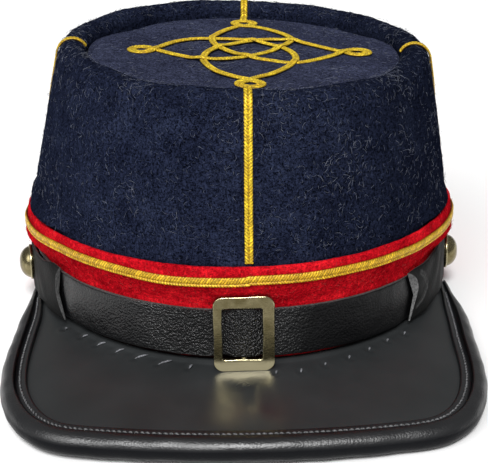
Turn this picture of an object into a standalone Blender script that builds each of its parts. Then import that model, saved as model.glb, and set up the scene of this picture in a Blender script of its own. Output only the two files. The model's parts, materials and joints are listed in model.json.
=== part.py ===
# Kepi cap: felt crown and band, gold flat braid, leather chin strap and peak,
# brass slide buckle and side buttons. Metres, +Z up, the peak points to -Y.
#
# The pieces are worked out in the cap's own axes, where the rim lies in z = 0, and hang on one
# empty. The empty tips the cap back until it rests on its rear rim and the peak's two sides.
import bpy
import bmesh
import numpy as np
from math import asin, cos, pi, radians, sin, tan
from mathutils import Matrix, Vector

MM = 0.001
CAP_NAME = "kepi_cap"

# ---- Driving sizes ---------------------------------------------------------------------------
RING_STEPS = 52                 # corners of every ring round the head
GAP = 0.3 * MM                  # clearance between pieces that touch
FELT = 2.0 * MM                 # thickness of the crown's felt
BAND_FELT = 1.8 * MM

# Red band: widest half width and half length, and how far its face stands out at each height.
BAND_HALF_WIDTH = 92.2 * MM
BAND_HALF_LENGTH = 107.1 * MM
BAND_ROWS = (                   # (height, outward of the widest ring), mm
    (0.0, -4.95),
    (22.0, -4.95),
    (31.1, -0.80),
    (38.0, -0.40),
)

# Crown: its top leans forward and a little to one side, and is higher at the back.
TOP_HALF_WIDTH = 74.9 * MM
TOP_HALF_LENGTH = 79.4 * MM
TOP_FORWARD = 18.35 * MM
TOP_SIDEWAYS = 2.3 * MM
TOP_HEIGHT = 103.7 * MM
TOP_PITCH = radians(3.38)       # rise towards the back
TOP_ROLL = radians(-1.61)       # fall towards +X
RIM_RADIUS = 5.65 * MM          # rolled rim of the top
TIP_RECESS = 4.73 * MM          # the top's disc lies this far below the rim
RIM_END = radians(190)          # how far the rim rolls in
CROWN_BULGE = 1.0 * MM
CROWN_INSET = 2.3 * MM          # the crown's face under the band lies this far in
CROWN_ROWS = 1                  # rings between the band and the rim's roll
RIM_ROWS = 5                    # steps round the rim's roll

# Gold braid.
BAND_BRAID_WIDTH = 4.0 * MM
BAND_BRAID_HEIGHT = 33.2 * MM
CROWN_BRAID_WIDTH = 3.5 * MM
CROWN_BRAID_GAP = 0.4 * MM       # off the crown's side and rim
BRAID_THICK = 1.1 * MM
BRAID_EDGE = 0.3 * MM
CROWN_BRAIDS = (                # (name, degrees round the head at the band, and at the rim)
    ("front_braid", 0.25, -1.1),
    ("back_braid", 179.0, 177.4),
    ("left_braid", -95.0, -86.5),
    ("right_braid", 91.0, 83.5),
)
CROWN_BRAID_FOOT = 1.2 * MM     # the side and back braids end this far past the rim's inner foot

# Knot on the top, about its own centre on the disc.
KNOT_SIDEWAYS = 2.1 * MM        # from the disc's centre
KNOT_FORWARD = 4.2 * MM
KNOT_LEAN = 1.5 * MM            # the front curl lies this much further to -X
KNOT_ARM_LONG = 47.9 * MM       # centre to the front and back curls
KNOT_ARM_WIDE = 43.7 * MM       # centre to the side curls
CURL_RADIUS = 4.1 * MM
CURL_STEPS = 9
STRAND_WIDTH = 2.9 * MM
STRAND_ROWS = (                 # one strand from the back curl to a side curl (across, along), mm
    (-2.4, 44.5),
    (-8.0, 35.5),
    (-13.2, 26.0),
    (-16.0, 12.0),
    (-13.5, -1.0),
    (-6.5, -9.0),
    (2.5, -14.5),
    (13.0, -19.0),
    (23.0, -14.5),
    (31.5, -6.5),
    (40.5, -1.8),
)
STRAND_STEPS = 1                # extra corners between two rows

# Chin strap, its tabs and its buckle. Lengths run along the band from the front centre.
LEATHER = 2.0 * MM
STRAP_TALL = 18.9 * MM
STRAP_HEIGHT = 12.0 * MM        # middle of the strap at the front
STRAP_DROP = 1.8 * MM           # how much lower its middle is at the buttons
STRAP_LIFT = 0.7 * MM           # and how much higher in the buckle
STRAP_STATIONS = 44
STRAP_TAIL = 11.0 * MM          # strap beyond a button
BUTTON_BACK = 19.9 * MM         # the buttons sit this far forward of the cap's middle
TAB_THICK = 1.5 * MM
TAB_FRONTS = (("left", -72.6 * MM), ("right", 64.4 * MM))      # where each tab begins, along X
TAB_ROWS = (                    # (share of the tab from its front edge, bottom, top), mm
    (0.0, 0.9, 23.6),
    (0.25, 0.6, 21.6),
    (0.5, 0.4, 19.6),
    (1.0, 0.4, 19.0),
)
TAB_HOLLOW = 1.6 * MM           # the front edge is hollowed by this at its middle
TAB_LIP_SLOPE = 0.6             # where the tab stands above the strap it turns in over its edge
TAB_LIP_OFF = 0.5 * MM          # and stops this far off the band
TAB_STATIONS = 9

BUCKLE_WIDE = 22.4 * MM
BUCKLE_TALL = 29.4 * MM
BUCKLE_THICK = 2.2 * MM
BUCKLE_CORNER = 3.6 * MM
WINDOW_WIDE = 14.8 * MM
WINDOW_TALL = 20.1 * MM
WINDOW_CORNER = 0.8 * MM
BUCKLE_SIDEWAYS = -1.7 * MM
BUCKLE_HEIGHT = 13.0 * MM
BUCKLE_EDGE = 0.3 * MM
BAR_WIDE = 2.4 * MM             # hidden bar behind the strap
BAR_OFF = 0.65 * MM             # off the band
BAR_THICK = 1.1 * MM
POST_OFF = 1.15 * MM            # the bar's end posts stand further off the band
POST_TALL = 1.6 * MM
POST_SINK = 0.3 * MM            # how far the bar's ends run into the posts
STRAP_BULGE = 2.0 * MM          # the strap rises over that bar
STRAP_BULGE_FLAT = 2.4 * MM
STRAP_BULGE_REACH = 8.0 * MM

BUTTON_PROFILE = (              # (radius, height above the button's back), mm, outside to inside
    (7.4, 0.5),
    (7.5, 1.1),
    (7.2, 1.7),
    (6.2, 3.3),
    (4.4, 4.9),
    (2.2, 5.8),
)
BUTTON_TOP = 6.0 * MM
BUTTON_SHANK = 1.6 * MM
BUTTON_SIDES = 18

# Peak: a leather plate on straight rulings from the band to its edge.
PEAK_THICK = 2.8 * MM
PEAK_HALF_WIDTH = 86.9 * MM
PEAK_REACH = 147.0 * MM         # front of the edge, from the cap's middle
PEAK_BOW = 6.4 * MM             # how far the front edge bows forward
PEAK_CORNER_WIDE = 28.1 * MM
PEAK_CORNER_LONG = 55.5 * MM
PEAK_CORNER_POWER = 2.13
PEAK_END_WIDE = 86.9 * MM       # where the edge meets the band
PEAK_END_BACK = 22.3 * MM
PEAK_SLOPE = radians(10.7)
PEAK_SIDE_FLAT = 0.63           # how much flatter the slope is at the sides
PEAK_FOOT = -2.9 * MM           # middle of the plate where it leaves the band
PEAK_END_DROP = 0.6 * MM        # and how much lower it is at the peak's ends
PEAK_TUCK = 1.7 * MM            # the plate reaches this far under the band
PEAK_TUCK_RISE = 1.3 * MM       # and bends up to it
PEAK_BEND = 1.2 * MM            # the bend lies this far outside the band
PEAK_SIDEWAYS = -1.85 * MM
PEAK_SKEW = -0.021              # the +X side reaches this much further forward, per length
PEAK_SOFTEN = 31                # the outline is averaged over this many of its 400 steps
PEAK_STATIONS = 44

# Rolled binding on the peak's edge. Its section is (outward, up) about the edge's middle.
ROLL_HALF_TALL = 4.6 * MM
ROLL_OUT = 3.9 * MM
ROLL_NECK = 1.3 * MM            # stitch groove, inward of the roll's middle
LIP_LENGTH = 3.0 * MM           # flat lip inward of the groove
LIP_THICK = 1.0 * MM
SLOT_GAP = 0.5 * MM             # between the plate's faces and the lips
ROLL_STEPS = 4
BINDING_TAPER = 34.0 * MM       # the section shrinks over this length at each end
BINDING_END_SIZE = 0.42


WEIGHT_CENTRE = (0.0, -45.0 * MM)    # place of the cap's weight over the rim's plane


# ---- Small helpers ---------------------------------------------------------------------------
def clear_scene():
    for old in list(bpy.data.objects):
        bpy.data.objects.remove(old, do_unlink=True)


def make_material(name, colour, roughness, metallic=0.0):
    material = bpy.data.materials.new(name)
    material.use_nodes = True
    shader = material.node_tree.nodes["Principled BSDF"]
    shader.inputs["Base Color"].default_value = (*colour, 1.0)
    shader.inputs["Roughness"].default_value = roughness
    shader.inputs["Metallic"].default_value = metallic
    material.diffuse_color = (*colour, 1.0)
    return material


def make_object(name, mesh, material, collection, parent):
    piece = bpy.data.objects.new(name, mesh)
    piece.data.materials.append(material)
    piece.parent = parent
    collection.objects.link(piece)
    return piece


def mesh_from_bmesh(name, bm, smooth_angle=40):
    mesh = bpy.data.meshes.new(name)
    bm.to_mesh(mesh)
    bm.free()
    mesh.shade_smooth()
    mesh.set_sharp_from_angle(angle=radians(smooth_angle))
    return mesh


def loft(name, rows, around=False, cap=False):
    """Quads between rows of points. Faces point out when rows go up and points go anticlockwise."""
    bm = bmesh.new()
    grid = [[bm.verts.new(point) for point in row] for row in rows]
    count = len(grid[0])
    spans = count if around else count - 1
    for low, high in zip(grid[:-1], grid[1:]):
        for j in range(spans):
            k = (j + 1) % count
            bm.faces.new((low[j], low[k], high[k], high[j]))
    if cap:
        bm.faces.new(grid[0][::-1])
        bm.faces.new(grid[-1])
    return mesh_from_bmesh(name, bm)


def add_thickness(piece, thickness, outward):
    """A wall grown from an open surface, outward (+1) or inward (-1) of its faces."""
    shell = piece.modifiers.new("thickness", "SOLIDIFY")
    shell.thickness = thickness
    shell.offset = outward
    shell.use_even_offset = True


def round_edges(piece, width, segments=1, angle=50):
    bevel = piece.modifiers.new("round_edges", "BEVEL")
    bevel.width = width
    bevel.segments = segments
    bevel.limit_method = "ANGLE"
    bevel.angle_limit = radians(angle)


def smooth_step(value):
    share = np.clip(value, 0.0, 1.0)
    return share * share * (3.0 - 2.0 * share)


def spline_through(points, between):
    """Points of a smooth curve through the given ones, with some more between each two."""
    points = np.asarray(points, float)
    ends = np.vstack([2 * points[0] - points[1], points, 2 * points[-1] - points[-2]])
    share = np.arange(between + 1)[:, None] / (between + 1)
    curve = []
    for a, b, c, d in zip(ends[:-3], ends[1:-2], ends[2:-1], ends[3:]):
        curve.append(0.5 * (2 * b + (c - a) * share + (2 * a - 5 * b + 4 * c - d) * share ** 2
                            + (3 * b - a - 3 * c + d) * share ** 3))
    return np.vstack(curve + [points[-1:]])


def even_steps(line, count):
    """The line's points at even steps of its length, and those lengths."""
    lengths = np.concatenate([[0], np.cumsum(np.linalg.norm(np.diff(line, axis=0), axis=1))])
    even = np.linspace(0, lengths[-1], count)
    return np.stack([np.interp(even, lengths, column) for column in line.T], -1), even


def unit(vectors):
    return vectors / np.linalg.norm(vectors, axis=-1, keepdims=True)


def join_pieces(target, others):
    """Fuse other objects into the target with Boolean unions, and remove them."""
    for other in others:
        union = target.modifiers.new("union", "BOOLEAN")
        union.operation = "UNION"
        union.solver = "EXACT"
        union.object = other
    depsgraph = bpy.context.evaluated_depsgraph_get()
    fused = bpy.data.meshes.new_from_object(target.evaluated_get(depsgraph))
    target.modifiers.clear()
    target.data = fused
    for other in others:
        bpy.data.objects.remove(other, do_unlink=True)


# ---- Rings round the head --------------------------------------------------------------------
def ring_angles():
    """Angles round the head: 0 at the front, a quarter turn at +X."""
    return np.arange(RING_STEPS) * 2 * pi / RING_STEPS


def ring(angle, half_width, half_length, height, centre=(0.0, 0.0)):
    angle = np.asarray(angle, float)
    return np.stack([centre[0] + half_width * np.sin(angle),
                     centre[1] - half_length * np.cos(angle),
                     height + 0.0 * angle], -1)


def ring_normal(angle, half_width, half_length):
    angle = np.asarray(angle, float)
    return unit(np.stack([np.sin(angle) / half_width, -np.cos(angle) / half_length, 0.0 * angle], -1))


def band_outward(height):
    heights, outward = np.array(BAND_ROWS).T * MM
    return np.interp(height, heights, outward)


def band_point(angle, height, off=0.0):
    """A point off the band's outer face, and the face's outward direction there."""
    out = band_outward(height)
    half_width, half_length = BAND_HALF_WIDTH + out, BAND_HALF_LENGTH + out
    normal = ring_normal(angle, half_width, half_length)
    return ring(angle, half_width, half_length, height) + off * normal, normal


def top_surface(x, y, height):
    """Height of the sloping plane of the top, at a place and a height at the top's centre."""
    return height + tan(TOP_PITCH) * (y + TOP_FORWARD) + tan(TOP_ROLL) * (x - TOP_SIDEWAYS)


def rim_point(angle, turn, off=0.0):
    """A point on the rolled rim: turn 0 faces outward, a quarter turn is the rim's top."""
    centre = ring(angle, TOP_HALF_WIDTH - RIM_RADIUS, TOP_HALF_LENGTH - RIM_RADIUS, 0.0,
                  (TOP_SIDEWAYS, -TOP_FORWARD))
    centre[..., 2] = top_surface(centre[..., 0], centre[..., 1], TOP_HEIGHT - RIM_RADIUS)
    outward = ring_normal(angle, TOP_HALF_WIDTH, TOP_HALF_LENGTH)
    turn = np.asarray(turn, float)[..., None]
    direction = np.cos(turn) * outward + np.sin(turn) * np.array([0.0, 0.0, 1.0])
    return centre + (RIM_RADIUS + off) * direction, direction


def crown_foot(angle):
    """Where the crown's felt leaves the band's top edge."""
    return band_point(angle, BAND_ROWS[-1][0] * MM, -CROWN_INSET)[0]


def rim_start(angle):
    """The turn at which a straight wall from the band's top meets the roll as a tangent."""
    middle = rim_point(angle, 0.0, -RIM_RADIUS)[0]
    outward = ring_normal(angle, TOP_HALF_WIDTH, TOP_HALF_LENGTH)
    across = np.sum((crown_foot(angle) - middle) * outward, -1)
    rise = middle[..., 2] - crown_foot(angle)[..., 2]
    reach = np.hypot(across, rise)
    return np.arccos(RIM_RADIUS / reach) - np.arctan2(rise, across)


def rim_turns(angle):
    """The turns of the rim's rings, from the wall's tangent to the rolled-in edge."""
    start = rim_start(angle)
    return [start + (RIM_END - start) * k / RIM_ROWS for k in range(RIM_ROWS + 1)]


def crown_side(angle, share, off=0.0):
    """A point on the crown's side between the band's top (0) and the rim's roll (1)."""
    foot = crown_foot(angle)
    head, outward = rim_point(angle, rim_start(angle))
    swell = CROWN_BULGE * sin(pi * share) + off
    return foot + (head - foot) * share + swell * outward


# ---- Felt pieces -----------------------------------------------------------------------------
def build_crown_wall(material, collection, parent):
    angle = ring_angles()
    rows = [band_point(angle, height * MM, -CROWN_INSET)[0] for height, _ in BAND_ROWS]
    rows += [crown_side(angle, (k + 1) / (CROWN_ROWS + 1)) for k in range(CROWN_ROWS)]
    rows += [rim_point(angle, turn)[0] for turn in rim_turns(angle)]
    piece = make_object("crown_wall", loft("crown_wall", rows, around=True), material,
                        collection, parent)
    add_thickness(piece, FELT, -1)
    return piece


def build_crown_tip(material, collection, parent):
    angle = ring_angles()
    edge = ring(angle, TOP_HALF_WIDTH - 2 * RIM_RADIUS - GAP, TOP_HALF_LENGTH - 2 * RIM_RADIUS - GAP,
                0.0, (TOP_SIDEWAYS, -TOP_FORWARD))
    edge[:, 2] = top_surface(edge[:, 0], edge[:, 1], TOP_HEIGHT - TIP_RECESS)
    bm = bmesh.new()
    bm.faces.new([bm.verts.new(point) for point in edge])
    piece = make_object("crown_tip", mesh_from_bmesh("crown_tip", bm), material, collection, parent)
    add_thickness(piece, FELT, -1)
    return piece


def build_hat_band(material, collection, parent):
    angle = ring_angles()
    rows = [band_point(angle, height * MM)[0] for height, _ in BAND_ROWS]
    piece = make_object("hat_band", loft("hat_band", rows, around=True), material,
                        collection, parent)
    add_thickness(piece, BAND_FELT, -1)
    round_edges(piece, 0.6 * MM)
    return piece


# ---- Gold braid ------------------------------------------------------------------------------
def build_band_braid(material, collection, parent):
    angle = ring_angles()
    half = BAND_BRAID_WIDTH / 2
    rows = [band_point(angle, BAND_BRAID_HEIGHT + side * half, GAP)[0] for side in (-1, 1)]
    piece = make_object("band_braid", loft("band_braid", rows, around=True), material,
                        collection, parent)
    add_thickness(piece, BRAID_THICK, 1)
    round_edges(piece, BRAID_EDGE)
    return piece


def build_crown_braid(name, foot, head, tip_end, material, collection, parent):
    """A flat braid up the crown, from one angle to another, over the rim and on to the top."""
    foot, head = radians(foot), radians(head)
    line = [crown_side(foot + (head - foot) * share, share, CROWN_BRAID_GAP)
            for share in (0.02, 0.26, 0.5, 0.75)]
    line += [rim_point(head, turn, CROWN_BRAID_GAP)[0] for turn in rim_turns(head)[:-1]]
    tip_line = TOP_HEIGHT - TIP_RECESS + GAP
    inward = -ring_normal(head, TOP_HALF_WIDTH, TOP_HALF_LENGTH)
    first = line[-1] + 3.5 * MM * inward
    first[2] = top_surface(first[0], first[1], tip_line)
    if tip_end is None:
        tip_end = (first + CROWN_BRAID_FOOT * inward)[:2]
    last = np.array([*tip_end, top_surface(*tip_end, tip_line)])
    line = np.array(line + [first, last])
    side = np.cross([0.0, 0.0, 1.0], inward) * CROWN_BRAID_WIDTH / 2
    piece = make_object(name, loft(name, [line - side, line + side]), material,
                        collection, parent)
    add_thickness(piece, BRAID_THICK, 1)
    round_edges(piece, BRAID_EDGE)
    return piece


def knot_place(across, along):
    """A place on the cap from one on the knot, measured from the knot's centre."""
    lean = KNOT_LEAN * min(along / KNOT_ARM_LONG, 0.0)
    return TOP_SIDEWAYS + KNOT_SIDEWAYS + across + lean, -TOP_FORWARD - KNOT_FORWARD + along


def flat_cord(name, line, closed, material, collection, parent):
    """A flat cord laid on the top's disc: a curve with a wide, low bevel, made a mesh."""
    curve = bpy.data.curves.new(name, "CURVE")
    curve.dimensions = "3D"
    curve.twist_mode = "Z_UP"
    curve.bevel_depth = BRAID_THICK / 2
    curve.bevel_resolution = 0
    curve.extrude = (STRAND_WIDTH - BRAID_THICK) / 2
    curve.use_fill_caps = True
    spline = curve.splines.new("POLY")
    spline.points.add(len(line) - 1)
    spline.use_cyclic_u = closed
    level = TOP_HEIGHT - TIP_RECESS + GAP + BRAID_THICK / 2
    for point, (x, y) in zip(spline.points, line):
        point.co = (x, y, top_surface(x, y, level), 1.0)
        point.tilt = pi / 2
    guide = bpy.data.objects.new(name + "_curve", curve)
    collection.objects.link(guide)
    depsgraph = bpy.context.evaluated_depsgraph_get()
    mesh = bpy.data.meshes.new_from_object(guide.evaluated_get(depsgraph))
    bpy.data.objects.remove(guide, do_unlink=True)
    bm = bmesh.new()
    bm.from_mesh(mesh)
    bmesh.ops.remove_doubles(bm, verts=bm.verts, dist=0.0001 * MM)
    bmesh.ops.recalc_face_normals(bm, faces=bm.faces)
    return make_object(name, mesh_from_bmesh(name, bm), material, collection, parent)


def build_tip_knot(material, collection, parent):
    strand = spline_through(np.array(STRAND_ROWS) * MM, STRAND_STEPS)
    cords = []
    for mirror_x, mirror_y in ((1, 1), (-1, 1), (1, -1), (-1, -1)):
        line = [knot_place(mirror_x * x, mirror_y * y) for x, y in strand]
        cords.append(flat_cord(f"strand_{len(cords)}", line, False, material, collection, parent))
    turns = np.arange(CURL_STEPS) * 2 * pi / CURL_STEPS
    for x, y in ((0, 1), (0, -1), (1, 0), (-1, 0)):
        middle = (x * KNOT_ARM_WIDE, y * KNOT_ARM_LONG)
        line = [knot_place(middle[0] + CURL_RADIUS * cos(t), middle[1] + CURL_RADIUS * sin(t))
                for t in turns]
        cords.append(flat_cord(f"curl_{len(cords)}", line, True, material, collection, parent))
    knot = cords[0]
    knot.name = "tip_knot"
    join_pieces(knot, cords[1:])
    return knot


# ---- Chin strap and brass --------------------------------------------------------------------
STRAP_LEVEL = 10.0 * MM         # the height at which lengths along the band are measured


def angle_at_length(length):
    """The angle round the head at a length along the band from the front centre."""
    angles = np.linspace(-pi, pi, 4001)
    points = band_point(angles, STRAP_LEVEL)[0]
    steps = np.linalg.norm(np.diff(points, axis=0), axis=1)
    lengths = np.concatenate([[0.0], np.cumsum(steps)])
    return np.interp(length, lengths - lengths[len(angles) // 2], angles)


def length_at_angle(angle):
    angles = np.linspace(0.0, angle, 801)
    points = band_point(angles, STRAP_LEVEL)[0]
    return float(np.sum(np.linalg.norm(np.diff(points, axis=0), axis=1)))


def button_angle():
    return np.arccos(BUTTON_BACK / (BAND_HALF_LENGTH + band_outward(STRAP_LEVEL)))


def strap_middle(length):
    """Height of the strap's middle line."""
    share = np.clip(np.abs(length) / length_at_angle(button_angle()), 0.0, 1.0)
    lift = 1.0 - smooth_step(np.abs(length - BUCKLE_SIDEWAYS) / BUCKLE_WIDE)
    return STRAP_HEIGHT - STRAP_DROP * share ** 4 + STRAP_LIFT * lift


def strap_off(length):
    """How far the strap's inner face stands off the band: it rises over the buckle's bar."""
    reach = np.abs(np.asarray(length, float) - BUCKLE_SIDEWAYS) - STRAP_BULGE_FLAT
    rise = 1.0 - smooth_step(reach / (STRAP_BULGE_REACH - STRAP_BULGE_FLAT))
    return GAP + STRAP_BULGE * rise


def build_chin_strap(material, collection, parent):
    reach = length_at_angle(button_angle()) + STRAP_TAIL
    spread = np.linspace(-1.0, 1.0, STRAP_STATIONS)
    length = reach * np.sign(spread) * np.abs(spread) ** 1.5
    angle = angle_at_length(length)
    middle = strap_middle(length)
    rows = []
    for side in (-0.5, 0.5):
        foot, normal = band_point(angle, STRAP_LEVEL)
        row = foot + strap_off(length)[:, None] * normal
        row[:, 2] = middle + side * STRAP_TALL
        rows.append(row)
    piece = make_object("chin_strap", loft("chin_strap", rows), material, collection, parent)
    add_thickness(piece, LEATHER, 1)
    round_edges(piece, 0.35 * MM)
    return piece


def build_strap_tab(name, front_x, material, collection, parent):
    """A leather tab from the button forward over the strap's end, its top turned in."""
    way = 1 if front_x > 0 else -1
    front = way * length_at_angle(asin(abs(front_x) / (BAND_HALF_WIDTH + band_outward(STRAP_LEVEL))))
    back = way * (length_at_angle(button_angle()) + STRAP_TAIL + 1.5 * MM)
    share = np.linspace(0.0, 1.0, TAB_STATIONS)
    shares, bottoms, tops = np.array(TAB_ROWS).T
    bottom = np.interp(share, shares, bottoms) * MM
    top = np.interp(share, shares, tops) * MM
    strap_top = strap_middle(front + (back - front) * share) + STRAP_TALL / 2 + GAP
    fold = np.minimum(top - 1.0 * MM, strap_top)
    face_off = GAP + LEATHER + GAP
    lip_off = np.maximum(face_off - TAB_LIP_SLOPE * np.clip(top - strap_top, 0.0, None),
                         band_outward(top) - band_outward(STRAP_LEVEL) + TAB_LIP_OFF)
    rows = []
    for height, off, hollow in ((bottom, face_off, 0.0), (0.5 * (bottom + top), face_off, 1.0),
                                (fold, face_off, 0.2), (top, lip_off, 0.0)):
        start = front + way * hollow * TAB_HOLLOW
        foot, normal = band_point(angle_at_length(start + (back - start) * share), STRAP_LEVEL)
        row = foot + (off * normal.T).T
        row[:, 2] = height
        rows.append(row)
    if way < 0:
        rows = [row[::-1] for row in rows]
    piece = make_object(name, loft(name, rows), material, collection, parent)
    add_thickness(piece, TAB_THICK, 1)
    round_edges(piece, 0.3 * MM)
    return piece


def rounded_rectangle(spline, wide, tall, corner, steps=3):
    spline.points.add(4 * (steps + 1) - 1)
    spline.use_cyclic_u = True
    index = 0
    for quarter, (sx, sy) in enumerate(((1, 1), (-1, 1), (-1, -1), (1, -1))):
        for k in range(steps + 1):
            turn = (quarter + k / steps) * pi / 2
            x = sx * (wide / 2 - corner) + corner * cos(turn)
            y = sy * (tall / 2 - corner) + corner * sin(turn)
            spline.points[index].co = (x, y, 0.0, 1.0)
            index += 1


def build_buckle(material, collection, parent):
    """A brass frame in front of the strap, with a hidden bar behind the strap."""
    outline = bpy.data.curves.new("buckle", "CURVE")
    outline.dimensions = "2D"
    outline.fill_mode = "BOTH"
    outline.extrude = BUCKLE_THICK / 2 - BUCKLE_EDGE
    outline.bevel_depth = BUCKLE_EDGE
    outline.bevel_resolution = 1
    inset = 2 * BUCKLE_EDGE
    rounded_rectangle(outline.splines.new("POLY"), BUCKLE_WIDE - inset, BUCKLE_TALL - inset,
                      BUCKLE_CORNER - BUCKLE_EDGE)
    rounded_rectangle(outline.splines.new("POLY"), WINDOW_WIDE + inset, WINDOW_TALL + inset,
                      WINDOW_CORNER + BUCKLE_EDGE)
    guide = bpy.data.objects.new("buckle_outline", outline)
    collection.objects.link(guide)
    depsgraph = bpy.context.evaluated_depsgraph_get()
    mesh = bpy.data.meshes.new_from_object(guide.evaluated_get(depsgraph))
    bpy.data.objects.remove(guide, do_unlink=True)
    face = float(-band_point(0.0, STRAP_LEVEL)[0][1])
    back = face + GAP + LEATHER + GAP
    upright = Matrix.Rotation(pi / 2, 4, "X")
    mesh.transform(Matrix.Translation((BUCKLE_SIDEWAYS, -(back + BUCKLE_THICK / 2), BUCKLE_HEIGHT))
                   @ upright)
    bm = bmesh.new()
    bm.from_mesh(mesh)
    bmesh.ops.remove_doubles(bm, verts=bm.verts, dist=0.001 * MM)
    bmesh.ops.recalc_face_normals(bm, faces=bm.faces)
    frame = make_object("buckle", mesh_from_bmesh("buckle", bm, 30), material, collection, parent)
    post_deep = back + BUCKLE_THICK / 2 - (face + POST_OFF)
    post_place = (STRAP_TALL + POST_TALL) / 2 + GAP
    strap = float(strap_middle(BUCKLE_SIDEWAYS))
    bar_tall = STRAP_TALL + 2 * (GAP + POST_SINK)
    bars = []
    for size, place in (
        ((BAR_WIDE, BAR_THICK, bar_tall), (face + BAR_OFF + BAR_THICK / 2, 0.0)),
        ((BAR_WIDE, post_deep, POST_TALL), (face + POST_OFF + post_deep / 2, post_place)),
        ((BAR_WIDE, post_deep, POST_TALL), (face + POST_OFF + post_deep / 2, -post_place)),
    ):
        bm = bmesh.new()
        bmesh.ops.create_cube(bm, size=1.0)
        bmesh.ops.scale(bm, vec=size, verts=bm.verts)
        bmesh.ops.translate(bm, vec=(BUCKLE_SIDEWAYS, -place[0], strap + place[1]),
                            verts=bm.verts)
        bars.append(make_object("bar", mesh_from_bmesh("bar", bm), material, collection, parent))
    join_pieces(frame, bars)
    return frame


def button_axes(way):
    """Where a button's back lies, and the direction it faces."""
    foot, normal = band_point(way * button_angle(), STRAP_LEVEL)
    off = GAP + LEATHER + GAP + TAB_THICK + GAP
    place = foot + off * normal
    place[2] = float(strap_middle(length_at_angle(button_angle())))
    return place, normal


def build_button(name, way, material, collection, parent):
    """A turned dome with a short shank that passes through the tab."""
    place, normal = button_axes(way)
    shank_end = -(TAB_THICK + GAP)
    outline = [(0.0, BUTTON_TOP)] + [(r * MM, h * MM) for r, h in BUTTON_PROFILE[::-1]]
    outline += [(7.0 * MM, 0.0), (BUTTON_SHANK, 0.0), (BUTTON_SHANK, shank_end), (0.0, shank_end)]
    bm = bmesh.new()
    points = [bm.verts.new((radius, 0.0, height)) for radius, height in outline]
    for a, b in zip(points[:-1], points[1:]):
        bm.edges.new((a, b))
    piece = make_object(name, mesh_from_bmesh(name, bm), material, collection, parent)
    turned = piece.modifiers.new("turned", "SCREW")
    turned.axis = "Z"
    turned.steps = BUTTON_SIDES
    turned.render_steps = BUTTON_SIDES
    turned.use_merge_vertices = True
    turned.merge_threshold = 0.00001
    piece.rotation_mode = "QUATERNION"
    piece.rotation_quaternion = Vector(normal).to_track_quat("Z", "Y")
    piece.location = Vector(place)
    return piece


def drill_tab(tab, way, collection, cutters, parent):
    """The hole in a tab that the button's shank passes through."""
    place, normal = button_axes(way)
    bm = bmesh.new()
    bmesh.ops.create_cone(bm, cap_ends=True, segments=12, radius1=BUTTON_SHANK + GAP,
                          radius2=BUTTON_SHANK + GAP, depth=10 * MM)
    cutter = bpy.data.objects.new(tab.name + "_hole", mesh_from_bmesh("hole", bm))
    cutters.objects.link(cutter)
    cutter.parent = parent
    cutter.hide_render = True
    cutter.display_type = "WIRE"
    cutter.rotation_mode = "QUATERNION"
    cutter.rotation_quaternion = Vector(normal).to_track_quat("Z", "Y")
    cutter.location = Vector(place)
    cut = tab.modifiers.new("shank_hole", "BOOLEAN")
    cut.operation = "DIFFERENCE"
    cut.solver = "EXACT"
    cut.object = cutter


# ---- Peak ------------------------------------------------------------------------------------
def peak_middle(x, y):
    """Height of the middle of the peak's plate, by how far forward of the band a place lies."""
    half_width = BAND_HALF_WIDTH + band_outward(0.0)
    half_length = BAND_HALF_LENGTH + band_outward(0.0)
    share = np.clip(np.abs(x) / half_width, 0.0, 1.0)
    forward = np.clip(-y - half_length * np.sqrt(1 - share ** 2), 0.0, None)
    slope = tan(PEAK_SLOPE) * (1 - PEAK_SIDE_FLAT * share ** 2)
    return PEAK_FOOT - PEAK_END_DROP * share ** 6 - slope * forward


def peak_outline():
    """The peak's edge seen from above, from the -X end to the +X end."""
    corner_x = PEAK_HALF_WIDTH - PEAK_CORNER_WIDE
    corner_y = PEAK_REACH - PEAK_BOW - PEAK_CORNER_LONG
    power = 2 / PEAK_CORNER_POWER
    turn = np.linspace(0, pi / 2, 60)
    corner = np.stack([corner_x + PEAK_CORNER_WIDE * np.cos(turn).clip(0) ** power,
                       -corner_y - PEAK_CORNER_LONG * np.sin(turn) ** power], -1)
    run = np.linspace(0, 1, 30)[:-1]
    side = np.stack([PEAK_END_WIDE + (PEAK_HALF_WIDTH - PEAK_END_WIDE) * (1 - (1 - run) ** 2),
                     -PEAK_END_BACK - (corner_y - PEAK_END_BACK) * run], -1)
    run = np.linspace(0, 1, 30)[1:]
    front = np.stack([corner_x * (1 - run),
                      -(PEAK_REACH - PEAK_BOW) - PEAK_BOW * (1 - (1 - run) ** 2)], -1)
    half = np.vstack([side, corner, front])
    whole = np.vstack([half * (-1, 1), half[-2::-1]])
    whole[:, 1] += PEAK_SKEW * whole[:, 0]
    whole[:, 0] += PEAK_SIDEWAYS * smooth_step((-whole[:, 1] - PEAK_END_BACK) / (30 * MM))
    return whole


def peak_edge():
    """The middle of the peak's edge at even steps, its corners softened, and the steps' lengths."""
    fine = even_steps(peak_outline(), 401)[0]
    weights = np.hanning(PEAK_SOFTEN + 2)[1:-1]
    middle = slice(PEAK_SOFTEN // 2, -(PEAK_SOFTEN // 2))
    for k in (0, 1):
        fine[middle, k] = np.convolve(fine[:, k], weights / weights.sum(), "valid")
    line, lengths = even_steps(fine, PEAK_STATIONS)
    x, y = line.T
    return np.stack([x, y, peak_middle(x, y)], -1), lengths


def peak_root(off, rise=0.0):
    """The plate's middle line at a distance off the band's bottom edge, for the same stations."""
    edge, _ = peak_edge()
    out = band_outward(0.0) + off
    ends = np.arctan2(edge[[0, -1], 0], -edge[[0, -1], 1])
    angle = ends[0] + (ends[1] - ends[0]) * np.linspace(0, 1, PEAK_STATIONS)
    root = ring(angle, BAND_HALF_WIDTH + out, BAND_HALF_LENGTH + out, 0.0)
    root[:, 2] = peak_middle(root[:, 0], root[:, 1]) + rise
    return root


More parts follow.
